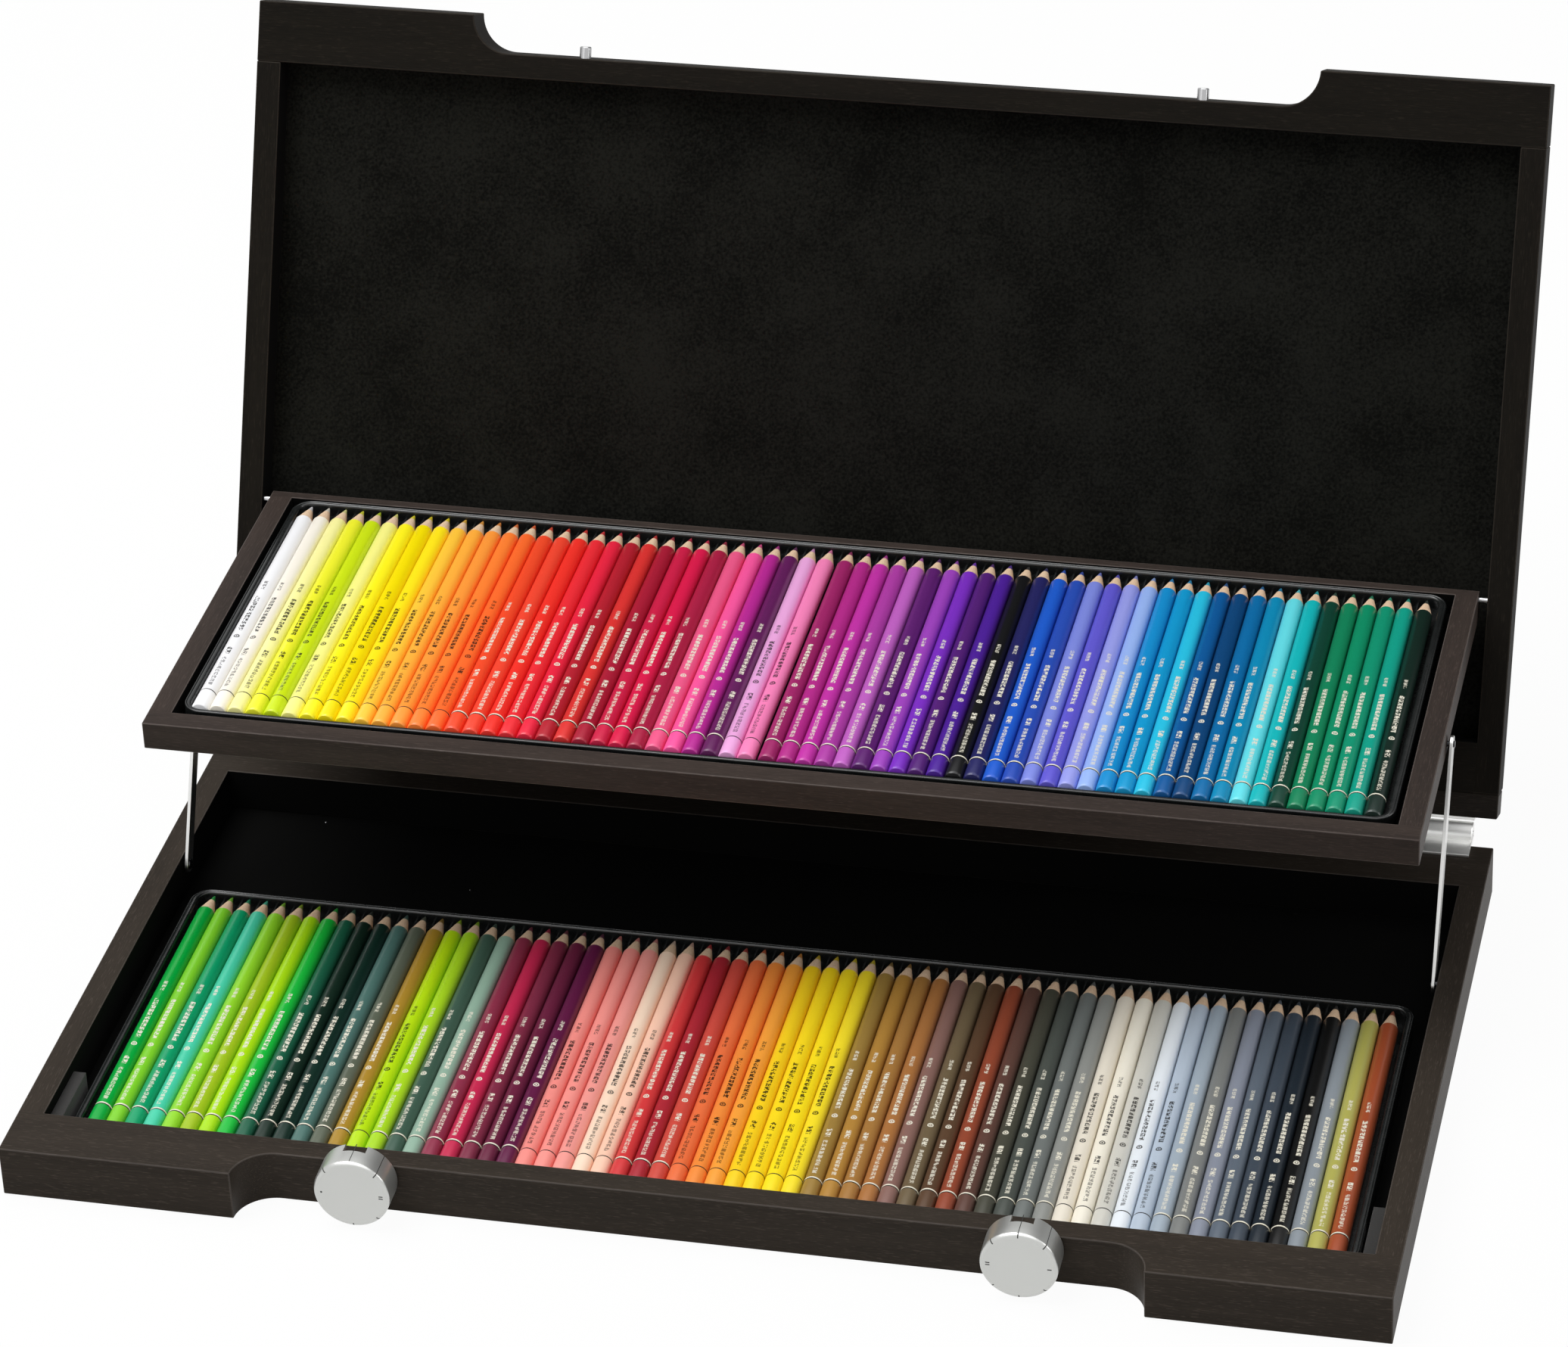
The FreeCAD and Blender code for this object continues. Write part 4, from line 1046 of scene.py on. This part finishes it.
# The sheen is the pile's dim glow, the two patterns its pressed patches and its nap.
velvet, tree, shader = principled("black cotton velvet", Roughness=1.0, Sheen_Weight=0.2,
                                  Specular_IOR_Level=0.08, Sheen_Roughness=0.45,
                                  Sheen_Tint=colour("#b9b4ad"))
lay, pile = noise(tree, 38.5, 5.0, Roughness=0.6), noise(tree, 1.25, 4.0)
tone = add(tree, "ShaderNodeMix", {"Factor": 0.6, "A": lay, "B": pile})
tone = mapped(tree, tone, 0.0, 1.0, 0.4, 0.6)
surface(tree, shader, tint(tree, tone, "#030302", "#171714"), None, (pile, 0.5, 0.2))
lining = ease(make("velvet_lining", slab(*closed_box("lid_lining")), velvet), 0.3 * mm)
lining.data.transform(LID)
fit(lining, "lid", "velvet", "lid_lining")


# Latch pins: plain rods of polished steel with chamfered ends, driven into the lid's bay.
# When the lid comes down, each goes into the notch of its knob.
for side in ("left", "right"):
    latch = pin("latch_pin_rod_" + side, "latch_pin_" + side, 1, 0.4, LID)
    fit(latch, "lid", "steel", "latch_pin_" + side)


# Upper tray: a light frame of the same wood round a thin panel, hung on two steel pins
# in the lid's stiles. Its insert and pencils are like the lower ones.
floor_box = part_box("tray_bottom_panel")
rabbet = (floor_box[0] - Vector((0, 0, mm)), floor_box[1])
middle = ((floor_box[0].x + floor_box[1].x) / 2, (floor_box[0].y + floor_box[1].y) / 2)
# The tray's arris tones are paler than its boards': partly rubbed stain, partly painted
# highlight.
tray_wood_x, tray_wood_y, tray_highlit_arris = woods("tray", ("#2f2926", "#3a322e", "#4d433e"),
                                             ("#453d3a", "#57504c", "#6a605c"))
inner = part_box("tray_right_rail")[0].x
for word, inside in (("front", 1), ("back", 0)):
    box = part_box("tray_%s_rail" % word)
    rail = make(word + "_rail_of_tray", slab(*box), tray_wood_x, near_black, tray_highlit_arris)
    hollow(rail, slab(*rabbet))
    ease(part_edges(rail, -inner, inner), 0.45 * mm, meets(inner, box[inside].y), 2)
    blacken_inside(rail, middle)
    fit(rail, "tray", "dark_wood", "tray_%s_rail" % word)
for side in ("left", "right"):
    side_rail(side, "tray", rabbet, tray_wood_y, tray_highlit_arris, 0.45 * mm, middle)
bottom = ease(make("bottom_of_tray", slab(*floor_box), near_black), 0.25 * mm)
fit(bottom, "tray", "panel_wood", "tray_bottom_panel")
for side in ("left", "right"):
    pivot = pin("tray_pin_rod_" + side, "tray_pin_" + side, 0, 0.2)
    fit(pivot, "tray", "steel", "tray_pin_" + side)

upper_row = row_of("upper_pencils", ((1, 2, 31), (3, 4, 33)))
pencil_bed("upper_insert_tray", "tray", "upper_insert", "upper_pencils_1", upper_row)

# The upper row runs from white through yellows, reds and violets to blues and greens.
UPPER_COLOURS = """
    f4f4f6 f6f0e2 f8f3a0 eeee30 c8e014 f8f488 fff21e f4de00 ffe61a ffc63c ffae3c
    fc983a fd8032 fa6a2c ee4a28 ee4630 ee3228 e82c36 e42440 ae1e2e d63230 a41a34
    c81e46 d61a4a a61e42 ea5888 f4569c b42890 5e1c56 eaa6dc f482b8 9a2464 b02a86
    be32a2 aa3ca0 bc60be 5a1e6a 9a42b8 782ebc 501e70 4a1e92 101012 22225a 1e5ac8
    284cb0 7c88dc 6058cc 969ce6 96b4f0 148ccc 1096cc 28bee0 0a5696 0a4274 0a6aa4
    0a88b4 64dce6 14b4b8 0a3c2e 107f56 0c8a62 0f906e 109c86 0e231c
"""
layer = pencils("upper_pencil_row", "upper_pencils_1", upper_row, UPPER_COLOURS, 9)
fit(layer, "tray", "pencils_upper", *["upper_pencils_%d" % n for n in range(1, 5)])
